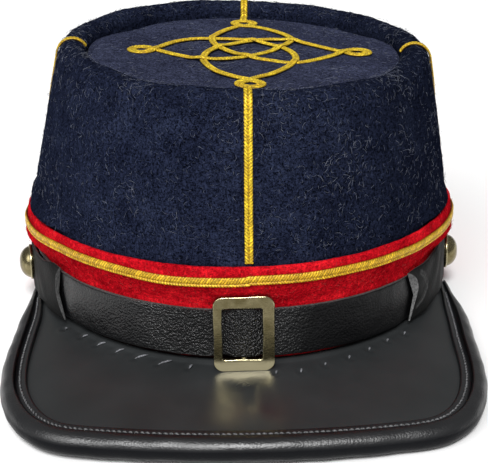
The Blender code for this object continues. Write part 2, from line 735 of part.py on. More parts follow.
def build_peak(material, collection, parent):
    edge, _ = peak_edge()
    foot = peak_root(PEAK_BEND)
    rows = [edge, 0.5 * (edge + foot), foot, peak_root(-PEAK_TUCK, PEAK_TUCK_RISE)]
    piece = make_object("peak", loft("peak", rows), material, collection, parent)
    add_thickness(piece, PEAK_THICK, 0)
    return piece


def binding_section(size):
    """The binding's section: a roll, and two lips that hold the plate between them."""
    slot = PEAK_THICK / 2 + SLOT_GAP
    lip = slot + LIP_THICK * size
    neck = lip - 0.25 * MM
    inner = -(ROLL_NECK + LIP_LENGTH) * size
    tall = slot + (ROLL_HALF_TALL - slot) * size
    turn = np.linspace(radians(105), radians(-105), 2 * ROLL_STEPS)
    roll = np.stack([GAP + (ROLL_OUT - GAP) * size * np.cos(turn), tall * np.sin(turn)], -1)
    return np.vstack([
        [(inner, slot), (inner, lip), (-ROLL_NECK * size, neck)],
        roll,
        [(-ROLL_NECK * size, -neck), (inner, -lip), (inner, -slot), (GAP, -slot), (GAP, slot)],
    ])


def build_peak_binding(material, collection, parent):
    edge, lengths = peak_edge()
    along = unit(np.gradient(edge, axis=0))
    plate = unit(edge - peak_root(PEAK_BEND))
    up = unit(np.cross(along, -plate))
    up *= np.sign(up[:, 2:3])
    outward = np.cross(along, up)
    outward *= np.sign(np.sum(outward * plate, 1, keepdims=True))
    to_end = np.minimum(lengths, lengths[-1] - lengths)
    sizes = BINDING_END_SIZE + (1 - BINDING_END_SIZE) * smooth_step(to_end / BINDING_TAPER)
    rows = []
    for place, out, high, size in zip(edge, outward, up, sizes):
        section = binding_section(size)
        rows.append(place + section[:, :1] * out + section[:, 1:] * high)
    mesh = loft("peak_binding", rows, around=True, cap=True)
    bm = bmesh.new()
    bm.from_mesh(mesh)
    bmesh.ops.recalc_face_normals(bm, faces=bm.faces)
    return make_object("peak_binding", mesh_from_bmesh("peak_binding", bm), material,
                       collection, parent)


# ---- Resting place ---------------------------------------------------------------------------
def world_points(pieces):
    bpy.context.view_layer.update()
    depsgraph = bpy.context.evaluated_depsgraph_get()
    points = []
    for piece in pieces:
        evaluated = piece.evaluated_get(depsgraph)
        mesh = evaluated.to_mesh()
        points += [evaluated.matrix_world @ vertex.co for vertex in mesh.vertices]
        evaluated.to_mesh_clear()
    return np.array([tuple(point) for point in points])


def resting_face(points):
    """The face of the points' hull that lies under the cap's weight, as its downward normal."""
    bm = bmesh.new()
    for point in points:
        bm.verts.new(point)
    bmesh.ops.convex_hull(bm, input=bm.verts)
    bm.normal_update()
    weight = Vector((*WEIGHT_CENTRE, 0.0))
    for face in bm.faces:
        if face.normal.z > -0.9:
            continue
        corners = [Vector((*loop.vert.co.xy, 0.0)) for loop in face.loops]
        turns = [(b - a).cross(weight - a).z for a, b in zip(corners, corners[1:] + corners[:1])]
        if max(turns) <= 0.0:
            down = face.normal.copy()
            bm.free()
            return down
    raise ValueError("no face under the weight")


def set_down(axes, pieces):
    """Tip the cap until the face it would rest on lies in z = 0, and centre it."""
    down = resting_face(world_points(pieces))
    axes.rotation_mode = "QUATERNION"
    axes.rotation_quaternion = down.rotation_difference(Vector((0.0, 0.0, -1.0)))
    points = world_points(pieces)
    low_corner, high_corner = points.min(0), points.max(0)
    axes.location = (-(low_corner[0] + high_corner[0]) / 2, -(low_corner[1] + high_corner[1]) / 2,
                     -low_corner[2])


# ---- The whole cap ---------------------------------------------------------------------------
def build_cap():
    clear_scene()
    collection = bpy.data.collections.new(CAP_NAME)
    cutters = bpy.data.collections.new("cutters")
    bpy.context.scene.collection.children.link(collection)
    bpy.context.scene.collection.children.link(cutters)
    axes = bpy.data.objects.new("cap_axes", None)
    collection.objects.link(axes)

    navy = make_material("navy_felt", (0.012, 0.017, 0.042), 0.95)
    red = make_material("red_felt", (0.45, 0.008, 0.012), 0.95)
    gold = make_material("gold_braid", (0.62, 0.44, 0.03), 0.5)
    leather = make_material("black_leather", (0.012, 0.012, 0.014), 0.4)
    gloss = make_material("peak_leather", (0.012, 0.012, 0.014), 0.25)
    brass = make_material("brass", (0.52, 0.42, 0.18), 0.35, 1.0)

    pieces = [build_crown_wall(navy, collection, axes),
              build_crown_tip(navy, collection, axes),
              build_hat_band(red, collection, axes),
              build_band_braid(gold, collection, axes)]
    front_curl = knot_place(0, -(KNOT_ARM_LONG + CURL_RADIUS + STRAND_WIDTH / 2 + GAP))
    for name, foot, head in CROWN_BRAIDS:
        tip_end = front_curl if name == "front_braid" else None
        pieces.append(build_crown_braid(name, foot, head, tip_end, gold, collection, axes))
    pieces.append(build_tip_knot(gold, collection, axes))
    pieces.append(build_chin_strap(leather, collection, axes))
    for side, front_x in TAB_FRONTS:
        tab = build_strap_tab(f"strap_tab_{side}", front_x, leather, collection, axes)
        drill_tab(tab, 1 if front_x > 0 else -1, collection, cutters, axes)
        pieces.append(tab)
    pieces.append(build_buckle(brass, collection, axes))
    for side, front_x in TAB_FRONTS:
        pieces.append(build_button(f"button_{side}", 1 if front_x > 0 else -1, brass,
                                   collection, axes))
    pieces.append(build_peak(gloss, collection, axes))
    pieces.append(build_peak_binding(leather, collection, axes))
    set_down(axes, pieces)


build_cap()
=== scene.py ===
import json
from math import atan2, cos, pi, radians, sin, sqrt, tan

import bpy
import numpy as np
from mathutils import Matrix, Vector


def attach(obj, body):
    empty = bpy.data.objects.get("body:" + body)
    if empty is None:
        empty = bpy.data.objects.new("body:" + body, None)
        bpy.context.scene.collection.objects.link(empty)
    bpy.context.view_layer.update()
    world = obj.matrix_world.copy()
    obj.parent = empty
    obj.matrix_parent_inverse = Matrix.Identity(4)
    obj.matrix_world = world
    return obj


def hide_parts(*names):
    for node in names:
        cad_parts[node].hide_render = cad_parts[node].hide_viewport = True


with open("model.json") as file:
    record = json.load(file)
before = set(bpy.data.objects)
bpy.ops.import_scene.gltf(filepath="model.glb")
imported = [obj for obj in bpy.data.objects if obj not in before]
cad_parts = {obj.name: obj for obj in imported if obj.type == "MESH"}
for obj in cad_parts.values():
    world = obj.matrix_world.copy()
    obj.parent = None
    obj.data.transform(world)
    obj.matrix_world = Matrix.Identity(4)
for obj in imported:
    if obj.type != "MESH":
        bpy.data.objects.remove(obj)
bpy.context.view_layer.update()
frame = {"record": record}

# Everything is worked out in the cap's own axes, in mm: the rim lies in z = 0, the peak points to -Y.
# The cap leans back a little where it rests, so one turn and one shift take those axes to the frame.
rimMount = next(mount for mount in frame["record"]["mounts"] if mount["name"] == "rim_underside")
rimMountBehind = 0.09885  # metres from the cap's middle back to that mount
capTurn = np.array(Vector((0, 0, -1)).rotation_difference(Vector(rimMount["axis"])).to_matrix())
capShift = np.array(rimMount["pos_m"]) - capTurn @ np.array([0.0, rimMountBehind, 0.0])


def toWorld(points):  # in metres, turned and shifted
    return points * 0.001 @ capTurn.T + capShift


# The cap's measured form. The pieces below all hang on these numbers.
cap = dict(
    bandHalfWidth=92.2, bandHalfLength=107.1,
    bandHeights=(0.0, 22.0, 31.1, 38.0), bandOutward=(-4.95, -4.95, -0.80, -0.40),
    topHalfWidth=74.9, topHalfLength=79.4, topForward=18.35, topSideways=2.3, topHeight=103.7,
    topPitch=radians(3.38), topRoll=radians(-1.61),
    rimRadius=5.65, rimEnd=radians(190), tipRecess=4.73, bulge=1.0, inset=2.3, gap=0.3,
    bellyHeights=(0.0, 19.5, 22.0, 25.0, 29.0, 33.0, 38.0), belly=(0.0, 0.0, 3.6, 4.2, 2.2, 0.0, 0.0),
    shoulder=(0.0, 0.0, 0.0, 0.0, -0.6, 1.5, -0.5), shoulderRight=0.72,
    puff=4.3, lap=2.9, flareFades=0.056, flareStarts=0.025, tuckIn=2.3, tuckHeights=(24.0, 8.0),
    backSink=3.0, sinkReach=9.0,
    # where each swelling lies round the head, as start and stretch of an ease: toward the side by the
    # angle's sine, and toward the front or the back by its cosine
    bellySide=(0.86, 0.10), bellyFront=(-0.05, 0.17), shoulderSide=(0.74, 0.12), shoulderFront=(0.13, 0.295),
    tuckSide=(0.75, 0.2), tuckBack=(-0.295, 0.224), sinkBack=(0.1, 0.7))
bandTop, bandFoot = cap["bandHeights"][-1], cap["bandOutward"][0]
upward = np.array([0.0, 0.0, 1.0])
halfRound = np.radians([30, 60, 90, 120, 150])


# small tools for surfaces
def unit(vectors):  # each over its own length
    return vectors / np.linalg.norm(vectors, axis=-1, keepdims=True)


def stacked(*parts):  # several values of a point, side by side
    return np.stack(np.broadcast_arrays(*parts), -1)


def ease(value, start=0.0, over=1.0):
    # 0 up to the start, then a cubic with flat ends that reaches 1 after the given stretch
    share = np.clip((value - start) / over, 0.0, 1.0)
    return share * share * (3.0 - 2.0 * share)


def bell(value, width, power=2):  # 1 at zero, falling away on both sides
    return np.exp(-(value / width) ** power)


def softNoise(points, size, seed, waves=20):
    # the sum of sine waves in random directions, each about one size long, scaled to a spread of 1
    draw = np.random.default_rng(seed)
    direction = unit(draw.normal(size=(waves, 3)))
    length = size * draw.uniform(0.7, 1.4, waves)
    phase = draw.uniform(0, 2 * pi, waves)
    return np.sin(points @ (direction / length[:, None] * 2 * pi).T + phase).sum(-1) / sqrt(waves / 2)


def splineThrough(points, between, closed=False):
    # four neighbours in turn give a cubic that passes through the middle two
    points = np.asarray(points, float)
    if closed:
        ends = np.vstack([points[-1:], points, points[:2]])
    else:
        ends = np.vstack([2 * points[:1] - points[1:2], points, 2 * points[-1:] - points[-2:-1]])
    share = (np.arange(between) / between)[None, :, None]
    a, b, c, d = (ends[k:len(ends) - 3 + k, None] for k in range(4))
    curve = 0.5 * (2 * b + (c - a) * share + (2 * a - 5 * b + 4 * c - d) * share ** 2
                   + (3 * b - a - 3 * c + d) * share ** 3)
    curve = curve.reshape(-1, points.shape[1])
    return curve if closed else np.vstack([curve, points[-1:]])


def lengthsOf(line):  # the distance along the line at each of its points
    return np.concatenate([[0], np.cumsum(np.linalg.norm(np.diff(line, axis=0), axis=1))])


def readAt(at, lengths, line):  # the line's values at other lengths, straight between its points
    return np.stack([np.interp(at, lengths, column) for column in line.T], -1)


def evenSteps(line, spacing, closed=False):
    # the line's points again at even steps of its length, and the lengths there
    whole = np.vstack([line, line[:1]]) if closed else line
    lengths = lengthsOf(whole)
    count = max(int(round(lengths[-1] / spacing)), 4)
    even = np.linspace(0, lengths[-1], count + 1)
    if closed:
        even = even[:-1]
    return readAt(even, lengths, whole), even, lengths[-1]


def slopeAlong(grid, closed):  # from the neighbour before each point to the one after it
    return np.roll(grid, -1, 0) - np.roll(grid, 1, 0) if closed else np.gradient(grid, axis=0)


def gridNormals(grid, closed, toward):
    # the cross product of the grid's two directions, all of them turned the way that points toward
    normal = unit(np.cross(slopeAlong(grid, closed), np.gradient(grid, axis=1)))
    return normal * np.sign(np.sum(normal * toward))


def makeWall(outer, normal, thickness, plump=1.0):
    # the outer face, a half round over its last edge, the inner face one thickness behind, and a
    # half round back to the start
    inner = outer - thickness * normal

    def roundOver(edge, before, way):
        turn = halfRound[None, :, None]
        ahead = unit(outer[:, edge] - outer[:, before])[:, None]
        middle = (outer[:, edge] + inner[:, edge])[:, None] / 2
        return middle + thickness / 2 * (way * np.cos(turn) * normal[:, edge][:, None]
                                         + plump * np.sin(turn) * ahead)

    return np.concatenate([outer, roundOver(-1, -2, 1), inner[:, ::-1], roundOver(0, 1, -1)], axis=1)


def roundEnds(grid, radius):
    # beyond each end the section shrinks along a quarter circle, in three steps
    turn = np.radians([30, 60, 90])[:, None, None]
    ends = []
    for ring, beside in ((grid[0], grid[1]), (grid[-1], grid[-2])):
        ahead = unit((ring - beside).mean(0))
        inward = unit(np.cross(slopeAlong(ring, True), ahead))
        inward *= np.sign(np.sum(inward * (ring.mean(0) - ring)))
        ends.append(ring + inward * radius * (1 - np.cos(turn)) + ahead * radius * np.sin(turn))
    return np.concatenate([ends[0][::-1], grid, ends[1]])


def sweep(line, out, section, closed=False):
    # section gives (across, off) for each point round the profile, carried along the line
    along = unit(slopeAlong(line, closed))
    side = unit(np.cross(along, out))
    up = np.cross(side, along)
    return line[:, None] + section[..., :1] * side[:, None] + section[..., 1:] * up[:, None]


def addToScene(name, data):  # a new object, at the origin
    made = bpy.data.objects.new(name, data)
    bpy.context.scene.collection.objects.link(made)
    return made


def sheet(points, closedLong=False, **marks):
    # one grid or many alike, closed the round way: points are (shells, long, round, 3), and marks are
    # numbers that the finishes read
    return dict(points=points if points.ndim == 4 else points[None], closedLong=closedLong, marks=marks)


def makePiece(name, sheets, finish, node=None):
    # quads between neighbouring grid points; the open ends of a tube close on their middle point
    keys = list(dict.fromkeys(key for part in sheets for key in part["marks"]))
    rows, fours, threes, start = [], [], [], 0
    for part in sheets:
        shells, n, m = part["points"].shape[:3]
        marks = [np.broadcast_to(part["marks"].get(key, 0.0), (shells, n, m))[..., None] for key in keys]
        grid = np.concatenate([part["points"], *marks], -1)
        flat = grid.reshape(shells, n * m, -1)
        i = np.arange(n if part["closedLong"] else n - 1)[:, None]
        j = np.arange(m)[None, :]
        steps = ((0, 0), (1, 0), (1, 1), (0, 1))
        quads = np.stack([(i + a) % n * m + (j + b) % m for a, b in steps], -1).reshape(-1, 4)
        fans = np.zeros((0, 3), int)
        if not part["closedLong"]:
            flat = np.concatenate([flat, grid[:, [0, -1]].mean(2)], 1)
            here, after, last = np.arange(m), (np.arange(m) + 1) % m, (n - 1) * m
            fans = np.concatenate([stacked(n * m, here, after), stacked(n * m + 1, last + after, last + here)])
        corners = np.concatenate([quads[:, :3], quads[:, [0, 2, 3]], fans])
        a, b, c = (flat[0, corners[:, k], :3] for k in range(3))
        if np.sum(a * np.cross(b, c)) < 0:  # turned inside out, so the corners go round the other way
            quads, fans = quads[:, ::-1], fans[:, ::-1]
        offset = start + np.arange(shells)[:, None, None] * flat.shape[1]
        fours.append((quads + offset).reshape(-1, 4))
        threes.append((fans + offset).reshape(-1, 3))
        rows.append(flat.reshape(-1, flat.shape[-1]))
        start += len(rows[-1])
    rows, fours, threes = np.concatenate(rows), np.concatenate(fours), np.concatenate(threes)
    loops = np.concatenate([fours.ravel(), threes.ravel()])
    totals = np.repeat([4, 3], [len(fours), len(threes)])
    mesh = bpy.data.meshes.new(name)
    mesh.vertices.add(len(rows))
    mesh.vertices.foreach_set("co", toWorld(rows[:, :3]).astype(np.float32).ravel())
    mesh.loops.add(len(loops))
    mesh.loops.foreach_set("vertex_index", loops.astype(np.int32))
    mesh.polygons.add(len(totals))
    mesh.polygons.foreach_set("loop_start", (np.cumsum(totals) - totals).astype(np.int32))
    mesh.polygons.foreach_set("loop_total", totals.astype(np.int32))
    mesh.update(calc_edges=True)
    for key, values in zip(keys, rows.T[3:]):
        mesh.attributes.new(key, "FLOAT", "POINT").data.foreach_set("value", values.astype(np.float32))
    mesh.shade_smooth()
    mesh.materials.append(finish)
    piece = addToScene(name, mesh)
    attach(piece, "root")
    if node:
        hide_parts(node)
    print("made", name, "with", 2 * len(fours) + len(threes), "triangles")


# small tools for finishes
def colourOf(value):  # red, green and blue, or one number for a grey, with an alpha of 1
    return (*np.broadcast_to(value, 3).tolist(), 1.0)


def fill(tree, node, inputs):  # each socket gets a link from another node, or a value
    for key, value in inputs.items():
        socket = node.inputs[key]
        if isinstance(value, bpy.types.NodeSocket):
            tree.links.new(value, socket)
        else:
            socket.default_value = colourOf(value) if socket.type == "RGBA" else value


def addNode(tree, kind, inputs, **settings):  # settings are the node's own menus and names
    made = tree.nodes.new(kind)
    for key, value in settings.items():
        setattr(made, key, value)
    fill(tree, made, inputs)
    return made


def startFinish(name):  # a new material, its nodes and its shader
    material = bpy.data.materials.new(name)
    material.use_nodes = True
    return material, material.node_tree, material.node_tree.nodes["Principled BSDF"]


def objectPlaces(tree, stretch=(1, 1, 1), turn=(0, 0, 0)):  # the piece's own coordinates in metres
    source = addNode(tree, "ShaderNodeTexCoord", {}).outputs["Object"]
    return addNode(tree, "ShaderNodeMapping", {"Vector": source, "Scale": stretch, "Rotation": turn}).outputs[0]


def noiseOf(tree, places, size, detail=3.0, rough=0.55, twist=0.0):
    # size is the width of one patch in mm
    return addNode(tree, "ShaderNodeTexNoise", {"Vector": places, "Scale": 1000.0 / size, "Detail": detail,
                                                "Roughness": rough, "Distortion": twist}).outputs["Fac"]


def ramp(tree, factor, *stops, kind="LINEAR"):  # each stop is (place, colour)
    made = addNode(tree, "ShaderNodeValToRGB", {"Fac": factor})
    made.color_ramp.interpolation = kind
    points = made.color_ramp.elements
    while len(points) < len(stops):
        points.new(0.5)
    for point, (place, colour) in zip(points, stops):
        point.position, point.color = place, colourOf(colour)
    return made.outputs["Color"]


def mixColour(tree, factor, first, second, way="MIX"):  # from the first at 0 to the second at 1
    return addNode(tree, "ShaderNodeMix", {0: factor, 6: first, 7: second},
                   data_type="RGBA", blend_type=way).outputs[2]


def timesColours(tree, colour, *others):  # multiplied one after another
    for other in others:
        colour = mixColour(tree, 1.0, colour, other, "MULTIPLY")
    return colour


def reckon(tree, way, first, second=0.0, third=0.0):  # one step of arithmetic
    return addNode(tree, "ShaderNodeMath", {0: first, 1: second, 2: third}, operation=way).outputs[0]


def markOf(tree, name):  # a number that the mesh carries at each point
    return addNode(tree, "ShaderNodeAttribute", {}, attribute_name=name).outputs["Fac"]


def bumpOf(tree, height, depth, before=None):
    # depth in mm is the height of a full step of the pattern; before is a bump that lies under it
    under = {} if before is None else {"Normal": before}
    inputs = {"Height": height, "Distance": depth * 0.001, "Strength": 1.0, **under}
    return addNode(tree, "ShaderNodeBump", inputs).outputs["Normal"]


def makeFelt(name, look):
    # milled wool: wide clouds of colour, a fine matted grain and short crossing streaks; the mark "nap"
    # paints shade on the crown's sides, and the mark "soil" paints shade along the band's foot
    material, tree, shader = startFinish(name)
    places, grain, half = objectPlaces(tree), look["grain"], 0.5 * look["contrast"]
    clouds = ramp(tree, noiseOf(tree, places, look["cloud"], 3.0, 0.6, 0.6),
                  (0.32, look["dark"]), (0.5, look["middle"]), (0.68, look["light"]), kind="EASE")
    matted = noiseOf(tree, places, grain, 6.0, 0.72, 0.8)
    streaks = [noiseOf(tree, objectPlaces(tree, stretch, turn), grain * 0.55, 3.0, 0.6, 1.2)
               for stretch, turn in (((1.0, 1.0, 0.28), (0.5, 0.3, 0.2)), ((0.3, 1.0, 1.0), (0.2, 0.7, -0.5)))]
    texture = reckon(tree, "MULTIPLY_ADD", reckon(tree, "MAXIMUM", *streaks), 0.7,
                     reckon(tree, "MULTIPLY", matted, 0.6))
    shading = ramp(tree, texture, (0.60, 0.5 - half), (0.70, 0.5), (0.79, 0.5 + half))
    shaded = timesColours(tree, clouds, timesColours(tree, shading, 2.0))
    # painted shade: darker where the mark is high, on the crown's sides
    if "nap" in look:
        shaded = mixColour(tree, reckon(tree, "MULTIPLY", markOf(tree, "nap"), look["nap"]), shaded, 0.0)
    # painted shade along the band's foot, in the felt's soil colour
    if "soil" in look:
        shaded = mixColour(tree, markOf(tree, "soil"), shaded, look["soil"])
    coarse = bumpOf(tree, noiseOf(tree, places, grain * 3.0, 3.0, 0.6), look["relief"] * 1.5)
    fill(tree, shader, {"Base Color": shaded, "Roughness": 0.95, "Specular IOR Level": 0.0,
                        "Normal": bumpOf(tree, texture, look["relief"], coarse)})
    return material


# navy felt of the crown's wall; its nap value sets how deep the painted shade on the crown's sides is
navyLook = dict(cloud=13.0, grain=0.85, contrast=0.85, relief=0.35, nap=0.45,
                dark=(0.0084, 0.0108, 0.0235), middle=(0.0118, 0.0152, 0.0320), light=(0.0158, 0.0204, 0.0412))
# the top's felt: the crown's navy painted lighter, as painted light where it faces up
litTipLook = dict(navyLook, nap=0.0,
               dark=(0.0260, 0.0300, 0.0560), middle=(0.0355, 0.0405, 0.0735), light=(0.0440, 0.0505, 0.0890))
# red felt of the band; its soil colour is the painted shade along the band's foot
redLook = dict(cloud=9.0, grain=1.0, contrast=0.5, relief=0.30, soil=(0.010, 0.003, 0.003),
               dark=(0.34, 0.0036, 0.0085), middle=(0.48, 0.0060, 0.0125), light=(0.64, 0.0110, 0.0180))
navyFelt = makeFelt("navyFelt", navyLook)
navyLitTipFelt = makeFelt("navyLitTipFelt", litTipLook)
redFelt = makeFelt("redFelt", redLook)


def makeGold(name, look):
    # metal thread: painted shade and highlight follow the plait's relief (mark "lift"), dark in the gaps
    # and on the cords' sides, bright on the thread tops; and each thread has its own brightness (mark "tint")
    material, tree, shader = startFinish(name)
    places = objectPlaces(tree)
    body = ramp(tree, markOf(tree, "lift"), (0.0, look["gap"]), (0.5, look["thread"]), (1.0, look["top"]))
    tint = ramp(tree, markOf(tree, "tint"), (0.0, 0.42), (0.55, 0.52), (1.0, 0.70))
    flecks = ramp(tree, noiseOf(tree, places, 0.42, 2.0, 0.7), (0.38, 0.26), (0.60, 0.70))
    soil = ramp(tree, noiseOf(tree, places, 7.0, 3.0, 0.6), (0.3, (0.84, 0.74, 0.60)), (0.6, 1.0))
    fill(tree, shader, {"Base Color": timesColours(tree, body, tint, soil, flecks, 4.0),
                        "Metallic": look["metal"], "Roughness": look["rough"],
                        "Normal": bumpOf(tree, noiseOf(tree, places, 0.35, 2.0, 0.6), 0.10)})
    return material


# gap colours are painted shade between the threads, top colours painted highlight on them
goldLook = dict(metal=0.35, rough=0.42,
                gap=(0.075, 0.030, 0.001), thread=(0.44, 0.285, 0.006), top=(0.80, 0.58, 0.022))
tipGoldLook = dict(goldLook, rough=0.5,
                   gap=(0.16, 0.085, 0.004), thread=(0.58, 0.40, 0.014), top=(0.80, 0.60, 0.035))
bandGoldLook = dict(goldLook, thread=(0.40, 0.225, 0.006), top=(0.74, 0.48, 0.020))
goldBraid = makeGold("goldBraid", goldLook)
goldTipBraid = makeGold("goldTipBraid", tipGoldLook)
goldBandBraid = makeGold("goldBandBraid", bandGoldLook)


def makeLeather(name, look):
    # black hide: pebble grain as relief, faint dull and shiny clouds, grey raw edges (mark "raw"),
    # little shine where it is not rubbed (mark "dull") and deeper grain in places (mark "coarse")
    material, tree, shader = startFinish(name)
    places, dull, raw = objectPlaces(tree), markOf(tree, "dull"), markOf(tree, "raw")
    pebbles = addNode(tree, "ShaderNodeTexVoronoi", {"Vector": places, "Scale": 1000.0 / look["pebble"]})
    pores = noiseOf(tree, places, look["pebble"] * 0.5, 4.0, 0.65)
    bulges = reckon(tree, "MULTIPLY", pebbles.outputs["Distance"], -0.8)
    grain = reckon(tree, "MULTIPLY_ADD", pores, 0.5, bulges)
    grain = reckon(tree, "MULTIPLY", grain,
                   reckon(tree, "MULTIPLY_ADD", markOf(tree, "coarse"), look["coarser"], 1.0))
    clouds = noiseOf(tree, places, 22.0, 3.0, 0.55)
    hide = ramp(tree, clouds, (0.3, look["dark"]), (0.7, look["light"]))
    flesh = ramp(tree, noiseOf(tree, places, 0.8, 3.0, 0.7),
                 (0.35, look["rawGrey"] * 0.35), (0.62, look["rawGrey"]))
    rough = ramp(tree, clouds, (0.3, look["rough"] - 0.05), (0.7, look["rough"] + 0.06))
    rough = mixColour(tree, reckon(tree, "MULTIPLY", dull, look["dullRough"]), rough, 0.7)
    soft = bumpOf(tree, noiseOf(tree, places, 5.0, 3.0, 0.5), look["relief"] * 1.2)
    shine = reckon(tree, "MULTIPLY_ADD", dull, -0.88 * look["specular"], look["specular"])
    fill(tree, shader, {"Base Color": mixColour(tree, raw, hide, flesh), "Specular IOR Level": shine,
                        "Roughness": mixColour(tree, raw, rough, 0.8),
                        "Normal": bumpOf(tree, grain, look["relief"], soft)})
    return material


strapLook = dict(pebble=0.9, relief=0.12, coarser=8.0, rough=0.21, dullRough=0.5, specular=0.58, rawGrey=0.10,
                 dark=(0.0018, 0.0018, 0.0022), light=(0.0040, 0.0041, 0.0045))
tabLook = dict(strapLook, pebble=1.2, relief=0.10, coarser=7.0, rough=0.60, specular=0.06, rawGrey=0.19,
               dark=(0.0055, 0.0057, 0.0057), light=(0.0095, 0.0100, 0.0100))
# the peak's black leather is painted up to a grey, as painted reflection of the light around it
peakLook = dict(pebble=0.8, relief=0.010, coarser=0.0, rough=0.29, dullRough=0.6, specular=0.95, rawGrey=0.05,
                dark=(0.0170, 0.0189, 0.0198), light=(0.0228, 0.0250, 0.0262))
rollLook = dict(pebble=0.75, relief=0.09, coarser=0.0, rough=0.36, dullRough=0.0, specular=0.80, rawGrey=0.05,
                dark=(0.0024, 0.0027, 0.0038), light=(0.0040, 0.0044, 0.0056))
strapLeather = makeLeather("strapLeather", strapLook)
tabLeather = makeLeather("tabLeather", tabLook)
peakLeather = makeLeather("peakLeather", peakLook)
rollLeather = makeLeather("rollLeather", rollLook)


def makeBrass(name, look):
    # cast brass gone dull: brown-green clouds, fine brushing, brighter where edges are rubbed (mark "worn"),
    # and painted light on the bottom bar, pale and less metallic (mark "scratched")
    material, tree, shader = startFinish(name)
    places, worn = objectPlaces(tree), markOf(tree, "worn")
    colour = ramp(tree, noiseOf(tree, places, 4.5, 4.0, 0.6, 0.4),
                  (0.32, look["dark"]), (0.55, look["middle"]), (0.72, look["light"]))
    brushed = noiseOf(tree, objectPlaces(tree, look["brush"]), 0.5, 3.0, 0.7)
    rough = ramp(tree, brushed, (0.3, look["rough"] - 0.07), (0.7, look["rough"] + 0.1))
    fill(tree, shader, {"Base Color": mixColour(tree, worn, colour, look["rubbed"]),
                        "Metallic": reckon(tree, "MULTIPLY_ADD", markOf(tree, "scratched"), -0.55, 1.0),
                        "Roughness": mixColour(tree, worn, rough, 0.22), "Normal": bumpOf(tree, brushed, 0.03)})
    return material


brassLook = dict(rough=0.24, brush=(0.25, 1.0, 1.0), rubbed=(0.46, 0.41, 0.25),
                 dark=(0.120, 0.100, 0.046), middle=(0.175, 0.150, 0.080), light=(0.240, 0.210, 0.115))
buttonLook = dict(brassLook, brush=(1.0, 1.0, 1.0),
                  dark=(0.14, 0.115, 0.055), middle=(0.24, 0.205, 0.110), light=(0.34, 0.295, 0.165))
buckleBrass = makeBrass("buckleBrass", brassLook)
buttonBrass = makeBrass("buttonBrass", buttonLook)


def makeThread(name, colour, shade):
    # twisted thread: fine light and dark flecks
    material, tree, shader = startFinish(name)
    flecks = noiseOf(tree, objectPlaces(tree), 0.5, 3.0, 0.6)
    fill(tree, shader, {"Base Color": ramp(tree, flecks, (0.35, shade), (0.65, colour)), "Roughness": 0.6,
                        "Normal": bumpOf(tree, flecks, 0.08)})
    return material


blackThread = makeThread("blackThread", (0.17, 0.173, 0.180), (0.010, 0.010, 0.011))
greyThread = makeThread("greyThread", (0.22, 0.225, 0.245), (0.020, 0.021, 0.024))
blueWool = makeThread("blueWool", (0.28, 0.30, 0.36), (0.06, 0.068, 0.10))
navyWool = makeThread("navyWool", (0.085, 0.098, 0.145), (0.020, 0.025, 0.045))
redWool = makeThread("redWool", (0.60, 0.030, 0.030), (0.25, 0.006, 0.008))
print("finishes are ready")


# the head's rings
def ringPlace(angle, halfWidth, halfLength, height, centre=(0.0, 0.0)):
    # an ellipse seen from above: sine of the angle to the side, cosine to the front
    return stacked(centre[0] + halfWidth * np.sin(angle), centre[1] - halfLength * np.cos(angle), height)


def ringOutward(angle, halfWidth, halfLength):  # square to that ellipse
    return unit(stacked(np.sin(angle) / halfWidth, -np.cos(angle) / halfLength, 0.0))


def bandOut(height):
    # the band's face in steps, averaged over 3 mm so that its knees are soft
    shifts = np.linspace(-1.5, 1.5, 7)
    return sum(np.interp(height + shift, cap["bandHeights"], cap["bandOutward"]) for shift in shifts) / 7


def bellyShare(angle):  # 1 at the two sides, 0 at the front, and gone sooner towards the back
    return ease(np.abs(np.sin(angle)), *cap["bellySide"]) * ease(np.cos(angle), *cap["bellyFront"])


def shoulderShare(angle):  # 1 a little in front of the two sides, less on the right
    share = ease(np.abs(np.sin(angle)), *cap["shoulderSide"]) * ease(np.cos(angle), *cap["shoulderFront"])
    return share * np.where(np.sin(angle) > 0, cap["shoulderRight"], 1.0)


def tuckShare(angle):  # 1 just behind the two sides
    return ease(-np.cos(angle), *cap["tuckBack"]) * ease(np.abs(np.sin(angle)), *cap["tuckSide"])


def backShare(angle):  # 1 at the back, falling to 0 before the sides
    return ease(-np.cos(angle), *cap["sinkBack"])


def bandPlace(angle, height, off=0.0):
    # at the sides the felt bellies out above the strap; its top stands out a little in front of them
    # and draws in behind them
    belly = np.interp(height, cap["bellyHeights"], cap["belly"]) * bellyShare(angle)
    belly = belly + np.interp(height, cap["bellyHeights"], cap["shoulder"]) * shoulderShare(angle)
    tuck = cap["tuckIn"] * tuckShare(angle) * ease(np.asarray(height), *cap["tuckHeights"])
    out = bandOut(height) + belly - tuck
    halfWidth, halfLength = cap["bandHalfWidth"] + out, cap["bandHalfLength"] + out
    normal = ringOutward(angle, halfWidth, halfLength)
    return ringPlace(angle, halfWidth, halfLength, height) + np.asarray(off)[..., None] * normal, normal


def topHeightAt(x, y, height):  # the top's sloping plane
    behind, right = y + cap["topForward"], x - cap["topSideways"]
    return height + tan(cap["topPitch"]) * behind + tan(cap["topRoll"]) * right


def topRing(angle, inset, height, share=1.0):
    # the top's outline on its sloping plane, drawn in by the inset and shrunk to a share
    ring = ringPlace(angle, share * (cap["topHalfWidth"] - inset), share * (cap["topHalfLength"] - inset), 0.0,
                     (cap["topSideways"], -cap["topForward"]))
    ring[..., 2] = topHeightAt(ring[..., 0], ring[..., 1], height)
    return ring


def topOutward(angle):  # square to the top's outline
    return ringOutward(angle, cap["topHalfWidth"], cap["topHalfLength"])


def rimPlace(angle, turn, off=0.0):
    # a circle of the rim's radius, standing across the top's outline: turn 0 outward, 90 degrees up
    radius = cap["rimRadius"]
    turn = np.asarray(turn, float)[..., None]
    return (topRing(angle, radius, cap["topHeight"] - radius)
            + (radius + off) * (np.cos(turn) * topOutward(angle) + np.sin(turn) * upward))


def crownFoot(angle):  # inside the band's top
    return bandPlace(angle, bandTop, -cap["inset"])[0]


